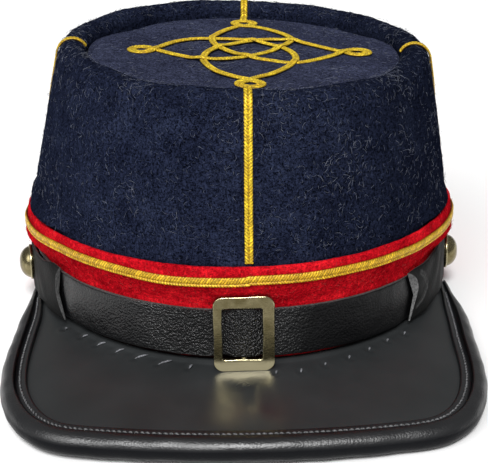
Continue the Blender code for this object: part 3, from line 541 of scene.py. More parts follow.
def rimStart(angle):
    # the turn at which a straight wall from the band meets the roll as a tangent
    toFoot = crownFoot(angle) - rimPlace(angle, 0.0, -cap["rimRadius"])
    across = np.sum(toFoot * topOutward(angle), -1)
    rise = -toFoot[..., 2]
    return np.arccos(cap["rimRadius"] / np.hypot(across, rise)) - np.arctan2(rise, across)


def crownSide(angle, share, off=0.0):
    # a straight line from the band to the roll, swollen a little in its middle; towards the sides it
    # flares out over the band's top
    foot, head = crownFoot(angle), rimPlace(angle, rimStart(angle))
    share = np.asarray(share, float)[..., None]
    flare = np.asarray(cap["puff"] * shoulderShare(angle) + cap["lap"] * tuckShare(angle))[..., None]
    flare = flare * bell(share, cap["flareFades"]) * ease(share, 0.0, cap["flareStarts"])
    swell = cap["bulge"] * np.sin(pi * share) + flare
    return foot + (head - foot) * share + (swell + off) * topOutward(angle)


# navy felt crown
crown = dict(around=384, bandRows=8, sideRows=44, rollRows=24, felt=2.0, lowest=1.2,
             lumps=0.28, lumpSize=34.0, lumpSeed=3, nap=0.07, napSize=3.6, napSeed=4,
             darkRight=(10, 60), darkLeft=(55, 35), darker=(0.75, 0.45))


def crownLumps(places):  # the slow rise and fall of the felt, which the braid follows too
    return crown["lumps"] * softNoise(places, crown["lumpSize"], crown["lumpSeed"])


def crownSurface():
    # inside the band, up the side, over the rim's roll and down to the disc, as one profile at every angle
    angle = (np.arange(crown["around"]) * 2 * pi / crown["around"])[:, None]
    heights = np.linspace(crown["lowest"], bandTop, crown["bandRows"])[None, :]
    side, roll = (np.linspace(0, 1, crown[rows] + 1)[None, 1:] for rows in ("sideRows", "rollRows"))
    start = rimStart(angle)
    below = rimPlace(angle, np.full((1, 4), cap["rimEnd"]))
    below[..., 2] -= np.linspace(0.25, 1, 4) * (0.2 + 0.8 * cap["backSink"] * backShare(angle))
    grid = np.concatenate([bandPlace(angle, heights, -cap["inset"])[0], crownSide(angle, side),
                           rimPlace(angle, start + (cap["rimEnd"] - start) * roll), below], axis=1)
    normal = gridNormals(grid, True, topOutward(angle))
    free = ease(np.arange(grid.shape[1]), crown["bandRows"], 10.0)[None, :]  # smooth inside the band
    rise = crownLumps(grid) * free + crown["nap"] * softNoise(grid, crown["napSize"], crown["napSeed"], 28)
    return grid + rise[..., None] * normal, normal


crownGrid, crownNormal = crownSurface()
crownSkin = makeWall(crownGrid, crownNormal, crown["felt"])
# painted shade: the wall is painted darker towards its right side, and less so at its far left, where less
# light falls
crownPaintedShade = (crown["darker"][0] * ease(crownSkin[..., 0], *crown["darkRight"])
            + crown["darker"][1] * ease(-crownSkin[..., 0], *crown["darkLeft"]))
makePiece("crownWall", [sheet(crownSkin, closedLong=True, nap=crownPaintedShade[None])],
          navyFelt, "crown_wall")

tip = dict(around=200, rings=50, felt=2.0, clear=0.6, dish=0.25, dishSize=40.0, nap=0.05, napSize=3.4)


def tipSurface():
    # rings of the top's outline from its edge to its middle, gently wavy, with the back edge sunk
    angle = (np.arange(tip["around"]) * 2 * pi / tip["around"])[None, :]
    share = np.linspace(1.0, 0.02, tip["rings"])[:, None]
    edge = 2 * cap["rimRadius"] + cap["gap"] + tip["clear"]
    top = topRing(angle, edge, cap["topHeight"] - cap["tipRecess"], share)
    wave = tip["dish"] * softNoise(top, tip["dishSize"], 8) * ease((1 - share) * 6)
    toEdge = (1 - share) * (cap["topHalfLength"] - edge)
    top[..., 2] -= cap["backSink"] * backShare(angle) * ease(1 - toEdge / cap["sinkReach"])
    top[..., 2] += wave + tip["nap"] * softNoise(top, tip["napSize"], 9, 28)
    return top


tipTop = tipSurface()


def makeTip():
    # the upper face, a half round over its edge and the same face again one felt lower
    under = tipTop - [0, 0, tip["felt"]]
    turn = halfRound[:, None, None]
    out = unit((tipTop[0] - tipTop[0].mean(0)) * [1, 1, 0])
    edge = (tipTop[0] + under[0]) / 2 + tip["felt"] / 2 * (np.cos(turn) * upward + 0.6 * np.sin(turn) * out)
    makePiece("crownTip", [sheet(np.concatenate([tipTop[::-1], edge, under]))],
              navyLitTipFelt, "crown_tip")


makeTip()

# red felt band
band = dict(around=384, rows=36, felt=1.8, lumps=0.10, lumpSize=16.0, nap=0.05, napSize=3.0, lowest=-0.3,
            highest=0.22, soilTall=3.6, soilWaver=0.8, soilSize=9.0, soilFades=1.6, soilFront=(-4.0, 30.0),
            unshadedFrom=(6, 5), unshadedTo=(-38, 12), unshaded=0.8)


def bandSurface():
    # the band's profile carried round the head, with a fold at its top and bottom
    angle = (np.arange(band["around"]) * 2 * pi / band["around"])[:, None]
    half = band["felt"] / 2
    grid, outward = bandPlace(angle, np.linspace(half, bandTop - half, band["rows"])[None, :])
    normal = gridNormals(grid, True, outward)
    rise = band["lumps"] * softNoise(grid, band["lumpSize"], 13)
    rise += band["nap"] * softNoise(grid, band["napSize"], 14, 28)
    return grid + np.clip(rise, band["lowest"], band["highest"])[..., None] * normal, normal


def bandFootShade(places):
    # painted shade along the foot towards the front, under the strap, but for a stretch beside the buckle
    x, y, z = np.moveaxis(places, -1, 0)
    unshaded = band["unshaded"] * ease(x, *band["unshadedFrom"]) * ease(-x, *band["unshadedTo"]) * (y < 0)
    height = band["soilTall"] + band["soilWaver"] * softNoise(places, band["soilSize"], 17)
    return ease(height - z, 0.0, band["soilFades"]) * (1 - unshaded) * ease(-y, *band["soilFront"])


bandGrid, bandNormal = bandSurface()
bandWall = makeWall(bandGrid, bandNormal, band["felt"])
makePiece("hatBand", [sheet(bandWall, closedLong=True, soil=bandFootShade(bandWall)[None])],
          redFelt, "hat_band")

# gold braid
braid = dict(thick=1.0, base=0.42, pitch=1.25, slant=1.1, groove=0.22, topPoints=17, stepsPerThread=5.2,
             roundEnd=0.3, upWidth=3.2, upGap=0.2, upTurn=radians(156), bandWidth=3.7, bandPitch=1.1,
             bandSplit=0.42, bandHeight=33.2, bandWaver=0.12, dips=((1.15, 6.02, 0.27), (0.8, 0.82, 0.25)))


def braidSection(length, width, thick, pitch, seed, split):
    # two round cords side by side, parted at the split; threads slant across each, meet in a V there,
    # and each thread is a ridge with a gap beside it
    share = np.linspace(-1, 1, braid["topPoints"])[None, :]
    lower = share < split
    place = np.where(lower, (share + 1) / (split + 1), (share - split) / (1 - split))
    cords = np.sqrt(np.clip(1 - (2 * place - 1) ** 2 * 0.96, 0, 1))
    phase = length[:, None] / pitch - braid["slant"] * np.abs(share - split)
    ridge = np.abs(np.cos(pi * phase)) ** 0.7
    across = share * width[:, None] / 2 * (1 - 0.07 * (1 - ridge))
    off = thick * (braid["base"] + (1 - braid["base"]) * cords) - braid["groove"] * (1 - ridge)
    # lift: painted shade and highlight, high on the thread tops and the cords' crowns, low in the gaps and on
    # the cords' sides
    lift = np.clip(0.2 + 0.8 * ridge, 0, 1) * (0.3 + 0.7 * cords)
    shades = np.random.default_rng(seed).uniform(0, 1, (2, int(length[-1] / pitch) + 4))
    tint = np.where(lower, *shades[:, np.round(phase).astype(int)])
    under = stacked(np.array([0.9, 0.0, -0.9]) * width[:, None] / 2, [0.05, 0.0, 0.05])
    plain = np.zeros((len(length), 3))
    return (np.concatenate([stacked(across, off), under], axis=1),
            np.concatenate([lift, plain], axis=1), np.concatenate([tint, plain], axis=1))


def makeBraid(name, line, out, width, node, closed=False, finish=goldBraid, pitch=braid["pitch"],
              thick=braid["thick"], split=0.0):
    # the braid's section carried along the line
    steps, lengths, total = evenSteps(line, pitch / braid["stepsPerThread"], closed)
    if closed:  # a whole number of threads, so that the plait joins up
        pitch = total / round(total / pitch)
    source = lengthsOf(line)
    widths = np.interp(lengths, source, np.broadcast_to(width, len(line)))
    section, lift, tint = braidSection(lengths, widths, thick, pitch, len(name) + len(line), split)
    grid = sweep(steps, unit(readAt(lengths, source, out)), section, closed)
    if not closed:
        grid = roundEnds(grid, braid["roundEnd"])
        lift, tint = (np.pad(part, ((3, 3), (0, 0)), "edge") for part in (lift, tint))
    makePiece(name, [sheet(grid, closedLong=closed, lift=lift[None], tint=tint[None])],
              finish, node)


def bandBraidLine():
    # round the band at one height, a little unsteady, with two dips (depth, angle, width): left of the
    # middle and at the far right
    angle = np.arange(1440) * 2 * pi / 1440
    waver = braid["bandWaver"] * softNoise(ringPlace(angle, 92.0, 107.0, 33.0), 26.0, 21)
    dip = sum(depth * bell(angle - middle, width) for depth, middle, width in braid["dips"])
    return bandPlace(angle, braid["bandHeight"] + waver - dip, 0.15)


makeBraid("bandBraid", *bandBraidLine(), braid["bandWidth"], "band_braid", closed=True, finish=goldBandBraid,
          pitch=braid["bandPitch"], split=braid["bandSplit"])

# (to the right, to the back) from the knot's middle: the curls' centres, and the four strands between
# them, each listed point by point
knot = dict(sideways=2.1, forward=4.2, curl=4.15, foot=5.4, thick=0.85, width=2.95, curlWidth=3.9, step=0.8,
            crossingLift=0.7, crossingReach=3.0,
            north=(-0.2, 49.3), south=(-1.6, -47.5), west=(-43.4, 1.4), east=(44.2, 0.7))
knotStrands = dict(
    northEast=((-3, 43.5), (-10.5, 33), (-14.5, 22), (-13.5, 11), (-9, 1.5), (-4, -5), (1, -10), (8, -14),
               (14, -17), (20.5, -16), (28, -10.5), (35, -3.5)),
    eastSouth=((35, 3.5), (26.5, 12), (19.5, 18.5), (10, 20.5), (2.5, 18), (-4.5, 13.5), (-10.5, 8), (-16, 1),
               (-18.5, -9), (-18, -18), (-14, -29.5), (-7.5, -37.5)),
    southWest=((1.5, -38.5), (7.5, -33), (13.5, -24), (17.5, -15), (18, -4), (14.5, 6), (9, 12), (2.5, 17.5),
               (-5, 20), (-14, 20.5), (-22, 20), (-30, 15), (-36.5, 5.5)),
    westNorth=((-36, -0.5), (-29.5, -6.5), (-20.5, -12.5), (-14, -12.5), (-5.5, -10.5), (1.5, -6), (8.5, 0.5),
               (14.5, 10), (18.5, 19), (17.5, 27), (11, 37), (4, 43)))


def knotPlace(across, along):  # from the knot's middle to the cap's
    return cap["topSideways"] + knot["sideways"] + across, -cap["topForward"] - knot["forward"] + along


def onTop(x, y, above):  # this far above the sloping disc
    return stacked(x, y, topHeightAt(x, y, cap["topHeight"] - cap["tipRecess"] + cap["gap"] + above))


def crownBraidLine(foot, head, curl):
    # up the side from one angle to another and over the roll; at the front and the back it goes on to
    # a curl of the knot, at the back down over the sunk edge first
    gap, foot, head = braid["upGap"], radians(foot), radians(head)
    share = np.linspace(0.02, 1.0, 30)[:-1]
    side = crownSide(foot + (head - foot) * share, share, gap)
    start = rimStart(head)
    roll = rimPlace(head, start + (braid["upTurn"] - start) * np.linspace(0, 1, 24), gap)
    inward = -topOutward(head)
    if curl:
        middle = np.array(knot[curl])
        toCurl = onTop(*knotPlace(*(middle + np.sign(middle) * [0, knot["curl"] + 2.3])), 0.1)
    ends = []
    if curl == "south":
        ends = [onTop(*(roll[-1] + 2.0 * inward)[:2], 0.3), toCurl]
    if curl == "north":
        down = rimPlace(head, radians(186), gap)
        ends = [down, onTop(*(down + 2.2 * inward)[:2], 0.2 - cap["backSink"]),
                onTop(*(down + 9.7 * inward)[:2], 0.1), toCurl]
    line = splineThrough(np.vstack([side[::4], side[-1:], roll[1::3], np.reshape(ends, (-1, 3))]), 8)
    out = unit(np.cross(np.cross(inward, upward), unit(np.gradient(line, axis=0))))
    return line + crownLumps(line)[:, None] * out, out


for name, node, foot, head, curl in (("frontBraid", "front_braid", 0.25, -1.1, "south"),
                                     ("backBraid", "back_braid", 179.0, 177.4, "north"),
                                     ("leftBraid", "left_braid", -102.0, -86.5, None),
                                     ("rightBraid", "right_braid", 98.0, 83.5, None)):
    makeBraid(name, *crownBraidLine(foot, head, curl), braid["upWidth"], node)


def knotLine():
    # one cord without an end: a strand, a curl round the next arm's end, the next strand, and so on;
    # it crosses itself at the foot of every curl. The last column is the share of curl
    parts, arms = [], (("east", -1), ("south", 1), ("west", -1), ("north", 1))
    for strand, (name, way) in zip(knotStrands.values(), arms):
        middle = np.array(knot[name])
        turns = atan2(-middle[1], -middle[0]) + way * np.radians(np.linspace(45, 315, 9))
        ring = middle + knot["curl"] * stacked(np.cos(turns), np.sin(turns))
        foot = middle - knot["foot"] * middle / np.hypot(*middle)
        parts += [np.column_stack([strand, np.zeros(len(strand))]),
                  np.column_stack([np.vstack([foot, ring, foot]), [0.25] + [1.0] * 9 + [0.25]])]
    return splineThrough(np.vstack(parts), 6, closed=True)


def crossingsOf(line):
    # pairs of steps of the line that cut each other, seen from above
    step = np.roll(line, -1, 0) - line

    def turnOf(p, q):  # the flat cross product
        return p[..., 0] * q[..., 1] - p[..., 1] * q[..., 0]

    between = line[None] - line[:, None]
    turned = turnOf(step[:, None], step[None])
    turned = np.where(np.abs(turned) < 1e-9, np.nan, turned)
    t, s = turnOf(between, step[None]) / turned, turnOf(between, step[:, None]) / turned
    i, j = np.nonzero(np.triu((t >= 0) & (t < 1) & (s >= 0) & (s < 1), 2))
    keep = np.abs(i - j) < len(line) - 2
    return i[keep], j[keep]


def makeKnot():
    # the cord goes over and under itself in turn, and is raised in a bell where it goes over
    line, lengths, total = evenSteps(knotLine(), knot["step"], True)
    curled = ease(line[:, 2])
    line = line[:, :2]
    i, j = crossingsOf(line)
    passes = np.concatenate([i, j])
    over = passes[np.argsort(np.argsort(passes)) % 2 == 0]
    away = np.abs(lengths[:, None] - lengths[over][None])
    away = np.minimum(away, total - away)
    lift = knot["crossingLift"] * bell(away, knot["crossingReach"]).max(1) * (1 - 0.4 * curled)
    path = onTop(*knotPlace(line[:, 0], line[:, 1]), 0.05 + lift)
    out = np.broadcast_to(unit(np.array([-tan(cap["topRoll"]), -tan(cap["topPitch"]), 1.0])), path.shape)
    print("the knot crosses itself", len(i), "times over", round(total), "mm")
    width = knot["width"] + (knot["curlWidth"] - knot["width"]) * curled
    makeBraid("tipKnot", path, out, width, "tip_knot", closed=True, finish=goldTipBraid, thick=knot["thick"])


makeKnot()

# chin strap: its buckle stands a little left of the middle, and its ends are skived thinner under the
# tabs, by other amounts left and right
strap = dict(leather=2.0, thinned=(0.35, 1.0), thinFrom=60.0, thinOver=14.0, tall=19.0, height=11.15,
             drop=1.5, tilt=0.7, lift=0.9, tail=11.0, level=10.0, buttonBack=19.9,
             bulge=2.0, bulgeFlat=2.4, bulgeReach=8.0, crown=0.12, columns=360, rows=16,
             rawEdges=(0.8, 0.5), coarseLeft=(22, 16), coarseRight=(10, 22),
             dullRight=(8, 20), dullLeft=(40, 25), dull=(0.75, 0.35))
buckle = dict(wide=22.4, tall=29.4, thick=2.2, corner=3.6, windowWide=14.8, windowTall=20.1, windowCorner=0.8,
              sideways=-1.75, height=12.15, windowShift=(-0.6, 0.0), cornerPoints=14, sidePoints=14,
              bevel=((0.0, 0.38, 0.35), (0.012, 0.20, 0.8), (0.035, 0.08, 1.0), (0.065, 0.02, 0.4),
                     (0.10, 0.0, 0.0), (0.25, 0.03, 0.0)),
              bars=((-9.9, 9.9, -2.4, -3.5), (9.75, 11.35, 0.0, -3.05), (-11.35, -9.75, 0.0, -3.05)))
levelAngles = np.linspace(-pi, pi, 4001)
levelLengths = lengthsOf(bandPlace(levelAngles, strap["level"])[0])
levelLengths -= levelLengths[2000]


def angleAt(length):  # round the band at the strap's level
    return np.interp(length, levelLengths, levelAngles)


def lengthAt(angle):  # the same the other way about
    return np.interp(angle, levelAngles, levelLengths)


buttonAngle = float(np.arccos(strap["buttonBack"] / (cap["bandHalfLength"] + bandFoot)))
buttonLength = float(lengthAt(buttonAngle))


def strapMiddle(length):
    # the height of its middle line: lower at the ends and to the right, lifted but for the buckle
    share = np.clip(np.abs(length) / buttonLength, 0.0, 1.0)
    lift = strap["lift"] * (1 - ease(np.abs(length - buckle["sideways"]), 7.5, 5.0))
    return strap["height"] - strap["drop"] * share ** 4 - strap["tilt"] * ease(length, 0.0, 85.0) + lift


def strapOff(length):  # how far it stands off the band, more over the buckle's bar
    reach = np.abs(length - buckle["sideways"]) - strap["bulgeFlat"]
    return cap["gap"] + strap["bulge"] * (1 - ease(reach, 0.0, strap["bulgeReach"] - strap["bulgeFlat"]))


def leatherAt(length):  # its thickness
    thinned = np.where(np.asarray(length) < 0, *strap["thinned"])
    return strap["leather"] - thinned * ease(np.abs(length), strap["thinFrom"], strap["thinOver"])


def makeStrap():
    # a flat band of leather on the hat band's face; its outer face is a little crowned across
    reach, rows = buttonLength + strap["tail"], strap["rows"]
    length = np.linspace(-reach, reach, strap["columns"])
    share = np.linspace(-1, 1, rows)[None, :]
    foot, normal = bandPlace(angleAt(length)[:, None], np.full((1, rows), strap["level"]))
    off = (strapOff(length) + leatherAt(length))[:, None] - strap["crown"] * share ** 2
    grid = foot + off[..., None] * normal
    grid[..., 2] = strapMiddle(length)[:, None] + share * (strap["tall"] / 2 - strap["leather"] * 0.3)
    waver = 0.08 * softNoise(grid, 22.0, 31) + 0.05 * softNoise(grid, 9.0, 32)
    grid = grid + (waver - 0.08)[..., None] * normal
    wall = makeWall(grid, gridNormals(grid, False, normal), leatherAt(length)[:, None, None] - 0.1, plump=0.6)
    raw = np.zeros(wall.shape[1])
    raw[rows + 1:rows + 4], raw[-4:-1] = strap["rawEdges"]
    wall = roundEnds(wall, 0.3)
    side = wall[..., 0] - buckle["sideways"]
    left, right = (bell(np.clip(way * side - reach, 0, None), width)
                   for way, (reach, width) in ((-1, strap["coarseLeft"]), (1, strap["coarseRight"])))
    coarse = np.where(side < 0, left, 0.5 * right + 0.5 * (side < 9))
    dull = (strap["dull"][0] * ease(side, *strap["dullRight"])
            + strap["dull"][1] * ease(-side, *strap["dullLeft"]))
    makePiece("chinStrap", [sheet(wall, raw=raw[None, None], coarse=coarse[None], dull=dull[None])],
              strapLeather, "chin_strap")


makeStrap()

# each tab's front edge as (share of the height, degrees round the head), its top and bottom as (share of
# the way back, height), and its crease as (degrees, height)
tab = dict(thick=1.5, lipSlope=0.6, lipOff=0.5, soft=1.2, edge=0.45, past=1.5, columns=72, rows=36,
           skive=0.16, waver=0.14, perDegree=1.75, crease=0.3, creaseWide=0.8, wornBeside=0.7, wornWide=0.35,
           worn=0.45, rawTop=0.4)
tabShapes = dict(
    left=dict(way=-1, rawShare=0.35, crease=None,
              front=((0.0, 52.2), (0.12, 53.6), (0.35, 55.2), (0.65, 55.7), (0.85, 55.3), (1.0, 54.3)),
              top=((0.0, 22.5), (0.12, 22.6), (0.3, 20.2), (0.5, 19.1), (1.0, 18.4)),
              bottom=((0.0, 0.9), (0.25, 0.6), (0.5, 0.4), (1.0, 0.4))),
    right=dict(way=1, rawShare=1.0, crease=((51.2, 18.4), (53.6, 15.0), (55.0, 10.8), (52.6, 7.2), (49.6, 5.4)),
               front=((0.0, 46.0), (0.12, 46.8), (0.35, 48.4), (0.65, 49.0), (0.8, 48.6), (0.92, 47.2),
                      (1.0, 45.4)),
               top=((0.0, 21.6), (0.2, 21.4), (0.6, 21.8), (1.0, 21.6)),
               bottom=((0.0, 0.5), (0.25, 0.4), (0.5, 0.3), (1.0, 0.3))))


def makeTab(name, node, shape):
    # a leather tab over the strap's end: flat on the strap, its top leaning in to the hat band, its
    # front edge hollow and skived thin; the front and top edges are raw
    way, rows = shape["way"], tab["rows"]
    share = np.linspace(0, 1, tab["columns"])[:, None]
    rise = np.linspace(0, 1, rows)[None, :]
    front = way * lengthAt(radians(1) * np.polyval(np.polyfit(*zip(*shape["front"]), 4), rise))
    back = way * (buttonLength + strap["tail"] + tab["past"])
    top = np.interp(share, *zip(*shape["top"])) - tab["edge"]
    bottom = np.interp(share, *zip(*shape["bottom"])) + tab["edge"]
    height = bottom + (top - bottom) * rise
    length = front + (back - front) * share
    angle = angleAt(length)
    above = height - (strapMiddle(length) + strap["tall"] / 2 + cap["gap"]) + 0.2
    lean = tab["lipSlope"] * 0.5 * (above + np.hypot(above, tab["soft"]))
    off = np.maximum(2 * cap["gap"] + leatherAt(length) - lean,
                     bandOut(height) - bandOut(strap["level"]) + tab["lipOff"]) + tab["thick"]
    foot, normal = bandPlace(angle, strap["level"])
    grid = foot + off[..., None] * normal
    grid[..., 2] = height
    grid = grid + (tab["waver"] * softNoise(grid, 12.0, 41) - 0.05)[..., None] * normal
    worn = np.zeros(grid.shape[:2])
    if shape["crease"]:
        bend = splineThrough(np.array(shape["crease"]) * (tab["perDegree"], 1.0), 12)
        here = stacked(np.degrees(angle) * tab["perDegree"], height)
        away = np.linalg.norm(here[:, :, None] - bend, axis=-1).min(-1)
        grid = grid - (tab["crease"] * bell(away, tab["creaseWide"]))[..., None] * normal
        worn = tab["worn"] * bell(away - tab["wornBeside"], tab["wornWide"])
    thick = (tab["thick"] - 0.1) * (0.5 + 0.5 * ease(share[..., None], 0.0, tab["skive"]))
    wall = makeWall(grid, gridNormals(grid, False, normal), thick, plump=0.6)
    raw = np.zeros(wall.shape[:2])
    raw[:, :rows] = worn
    raw[:, rows + 1:rows + 4] = tab["rawTop"]
    raw = np.concatenate([raw[:1] * 0 + shape["rawShare"]] * 3 + [raw] + [raw[-1:]] * 3)
    makePiece(name, [sheet(roundEnds(wall, 0.3), raw=raw[None])], tabLeather, node)


makeTab("strapTabLeft", "strap_tab_left", tabShapes["left"])
makeTab("strapTabRight", "strap_tab_right", tabShapes["right"])


# brass buckle and buttons
def roundedOutline(wide, tall, corner):
    # quarter circles joined by straight sides, all as one ring of points
    quarters = []
    for turn, (sx, sy) in enumerate(((1, 1), (-1, 1), (-1, -1), (1, -1))):
        angles = np.linspace(0, pi / 2, buckle["cornerPoints"]) + turn * pi / 2
        quarters.append(stacked(sx * (wide / 2 - corner) + corner * np.cos(angles),
                                sy * (tall / 2 - corner) + corner * np.sin(angles)))
    run = np.linspace(0, 1, buckle["sidePoints"] + 2)[1:-1, None]
    return np.vstack([part for arc, after in zip(quarters, quarters[1:] + quarters[:1])
                      for part in (arc, arc[-1] + (after[0] - arc[-1]) * run)])


def makeBuckle():
    # the frame's section runs from the outer edge over a soft bevel, the slightly hollow face and a
    # bevel to the window, and back; it is carried round between two rounded outlines
    outer = roundedOutline(buckle["wide"], buckle["tall"], buckle["corner"])
    inner = roundedOutline(buckle["windowWide"], buckle["windowTall"], buckle["windowCorner"])
    inner += buckle["windowShift"]
    thick = buckle["thick"]
    # (share from the outer outline to the window, depth below the face, worn)
    bevel = np.array([(0.0, thick - 0.25, 0.2), *buckle["bevel"]])
    across, depth, worn = np.vstack([bevel, [(0.5, 0.05, 0.0)], ((1, 0, 0) + (-1, 1, 1) * bevel)[::-1],
                                     [(0.95, thick, 0.0), (0.5, thick, 0.0), (0.05, thick, 0.0)]]).T
    flat = outer[:, None] * (1 - across[:, None]) + inner[:, None] * across[:, None]
    # painted light: the bottom bar's face is painted pale, rubbed and less metallic, as if lit
    scratched = ease(-flat[..., 1], 9.5, 2.0) * (depth < 0.1)
    behind = -float(bandPlace(0.0, strap["level"])[0][1]) + 2 * cap["gap"] + strap["leather"]
    middle = np.array([buckle["sideways"], -(behind + thick / 2), buckle["height"]])

    def upright(x, z, out):  # to the right, up, and towards the front from the buckle's middle
        return stacked(middle[0] + x, middle[1] - out, middle[2] + z)

    waver = 0.05 * softNoise(stacked(flat[..., 0], flat[..., 1], 0.0), 11.0, 51)
    grid = upright(flat[..., 0] + waver, flat[..., 1] + waver, thick / 2 - depth)
    sheets = [sheet(grid, closedLong=True, worn=np.maximum(worn, scratched)[None], scratched=scratched[None])]
    # the bar behind the strap and its two posts, as rounded rods
    turns = np.linspace(0, 2 * pi, 17)[None, :-1]
    squareX, squareY = (np.sign(part) * np.abs(part) ** 0.35 for part in (np.cos(turns), np.sin(turns)))
    lift = float(strapMiddle(buckle["sideways"])) - buckle["height"]
    for low, high, near, far in buckle["bars"]:
        heights = np.linspace(low, high, 7)[:, None] + lift
        sheets.append(sheet(upright(1.2 * squareX, heights, (near - far) / 2 * squareY + (near + far) / 2)))
    makePiece("buckle", sheets, buckleBrass, "buckle")


makeBuckle()

button = dict(around=56, rubbed=7.35,
              profile=((0.0, 6.0), (1.1, 5.98), (2.3, 5.82), (3.5, 5.45), (4.6, 4.85), (5.5, 4.1),
                       (6.2, 3.2), (6.6, 2.4), (6.75, 1.9), (6.95, 1.75), (7.3, 1.75), (7.5, 1.5),
                       (7.52, 1.0), (7.35, 0.55), (7.0, 0.35), (4.0, 0.2), (1.7, 0.15), (1.6, -0.4),
                       (1.6, -1.6), (1.4, -1.8), (0.0, -1.8)))


def makeButton(name, node, way, sink, lift):
    # the profile (radius, height) turned about the direction in which the button faces; it is
    # pulled into the soft leather by the sink
    radius, height = splineThrough(np.array(button["profile"]), 4).T
    radius = np.clip(radius, 0.02, None)
    foot, normal = bandPlace(way * buttonAngle, strap["level"])
    place = foot + (3 * cap["gap"] + leatherAt(way * buttonLength) + tab["thick"] - sink) * normal
    place[2] = float(strapMiddle(buttonLength)) + lift
    side = unit(np.cross(upward, normal))
    turns = (np.arange(button["around"]) * 2 * pi / button["around"])[None, :, None]
    grid = (place + radius[:, None, None] * (np.cos(turns) * side + np.sin(turns) * upward)
            + height[:, None, None] * normal)
    worn = bell(radius - button["rubbed"], 0.25) * (height > 1.2)
    makePiece(name, [sheet(grid, worn=worn[None, :, None])], buttonBrass, node)


makeButton("buttonLeft", "button_left", -1, 0.85, 0.8)
makeButton("buttonRight", "button_right", 1, 1.0, 1.6)

# leather peak and its rolled binding
peak = dict(thick=2.8, halfWidth=86.9, reach=147.0, bow=6.4, cornerWide=28.1, cornerLong=55.5,
            cornerPower=2.2, endWide=86.9, endBack=22.3, slope=radians(10.7), sideFlat=0.63,
            foot=-2.9, endDrop=0.6, tuck=1.7, tuckRise=1.3, bend=1.2, sideways=-1.85, skew=-0.021,
            swell=1.0, swellAt=62.0, soften=31, stations=360, rows=40, hemRows=5, wave=0.16,
            ridgeAt=0.3, ridge=1.6, ridgeWide=6.0, hollow=0.42, hollowWide=18.0,
            ridgeFrom=(109.5, 9.0), ridgeTo=(128.0, 16.0),
            shinyWide=15.0, shinyFrom=(100.0, 6.0), shinyTo=(130.0, 12.0), dull=0.66)


def peakMiddle(x, y):
    # the plate falls with the distance forward of the band, less steeply at the sides
    share = np.clip(np.abs(x) / (cap["bandHalfWidth"] + bandFoot), 0, 1)
    forward = np.clip(-y - (cap["bandHalfLength"] + bandFoot) * np.sqrt(1 - share ** 2), 0, None)
    slope = tan(peak["slope"]) * (1 - peak["sideFlat"] * share ** 2)
    return peak["foot"] - peak["endDrop"] * share ** 6 - slope * forward


def peakEdge():
    # straight sides, superellipse corners and a bowed front, then averaged along its length
    def respaced(line, count):  # the same line by so many points at even steps
        even = np.linspace(0, lengthsOf(line)[-1], count)
        return readAt(even, lengthsOf(line), line), even

    straight = peak["reach"] - peak["bow"]
    cornerX, cornerY = peak["halfWidth"] - peak["cornerWide"], straight - peak["cornerLong"]
    power = 2 / peak["cornerPower"]
    turn, run, after = np.linspace(0, pi / 2, 60), np.linspace(0, 1, 30)[:-1], np.linspace(0, 1, 30)[1:]
    side = stacked(peak["endWide"] + (peak["halfWidth"] - peak["endWide"]) * (1 - (1 - run) ** 2),
                   -peak["endBack"] - (cornerY - peak["endBack"]) * run)
    corner = stacked(cornerX + peak["cornerWide"] * np.cos(turn).clip(0) ** power,
                     -cornerY - peak["cornerLong"] * np.sin(turn) ** power)
    front = stacked(cornerX * (1 - after), -straight - peak["bow"] * (1 - (1 - after) ** 2))
    half = np.vstack([side, corner, front])
    whole = np.vstack([half * (-1, 1), half[-2::-1]])
    whole[:, 1] += peak["skew"] * whole[:, 0]
    whole[:, 0] += peak["sideways"] * ease(-whole[:, 1], 38.0, 48.0)
    whole[:, 0] += peak["swell"] * bell(whole[:, 1] + peak["swellAt"], 20.0) * (whole[:, 0] > 0)
    fine = respaced(whole, 401)[0]
    weights = np.hanning(peak["soften"] + 2)[1:-1]
    weights /= weights.sum()
    inside = slice(len(weights) // 2, -(len(weights) // 2))
    fine[inside] = np.stack([np.convolve(column, weights, "valid") for column in fine.T], -1)
    line, even = respaced(fine, peak["stations"])
    height = peakMiddle(line[:, 0], line[:, 1])
    height[inside] = np.convolve(height, weights, "valid")
    return np.column_stack([line, height]), even


def peakRoot(edge, off, rise=0.0):
    # along the band's foot, between the directions of the edge's two ends
    out = bandFoot + off
    ends = np.arctan2(edge[[0, -1], 0], -edge[[0, -1], 1])
    angle = ends[0] + (ends[1] - ends[0]) * np.linspace(0, 1, len(edge))
    root = ringPlace(angle, cap["bandHalfWidth"] + out, cap["bandHalfLength"] + out, 0.0)
    root[:, 2] = peakMiddle(root[:, 0], root[:, 1]) + rise
    return root


def peakSurface(edge):
    # straight rulings from the band's foot to the edge, with a tucked strip under the band; before the
    # buckle the leather stands up in a low ridge
    foot = peakRoot(edge, peak["bend"])
    tucked = peakRoot(edge, -peak["tuck"], peak["tuckRise"])
    hem, plate = np.linspace(0, 1, peak["hemRows"] + 1)[:-1], np.linspace(0, 1, peak["rows"] - peak["hemRows"])
    grid = np.concatenate([start[:, None] + (end - start)[:, None] * share[None, :, None]
                           for start, end, share in ((tucked, foot, hem), (foot, edge, plate))], axis=1)
    out = gridNormals(grid, False, upward)
    across, ahead = grid[..., 0] - peak["ridgeAt"], -grid[..., 1]
    ridge = peak["ridge"] * bell(across, peak["ridgeWide"]) - peak["hollow"] * bell(across, peak["hollowWide"])
    wave = (peak["wave"] * softNoise(grid, 42.0, 61) * ease(np.arange(peak["rows"]), 0.0, 12.0)
            + ridge * ease(ahead, *peak["ridgeFrom"]) * (1 - ease(ahead, *peak["ridgeTo"])))
    return grid + (peak["thick"] / 2 + wave - 0.1)[..., None] * out, out


peakLine, peakLengths = peakEdge()
peakTop, peakOut = peakSurface(peakLine)

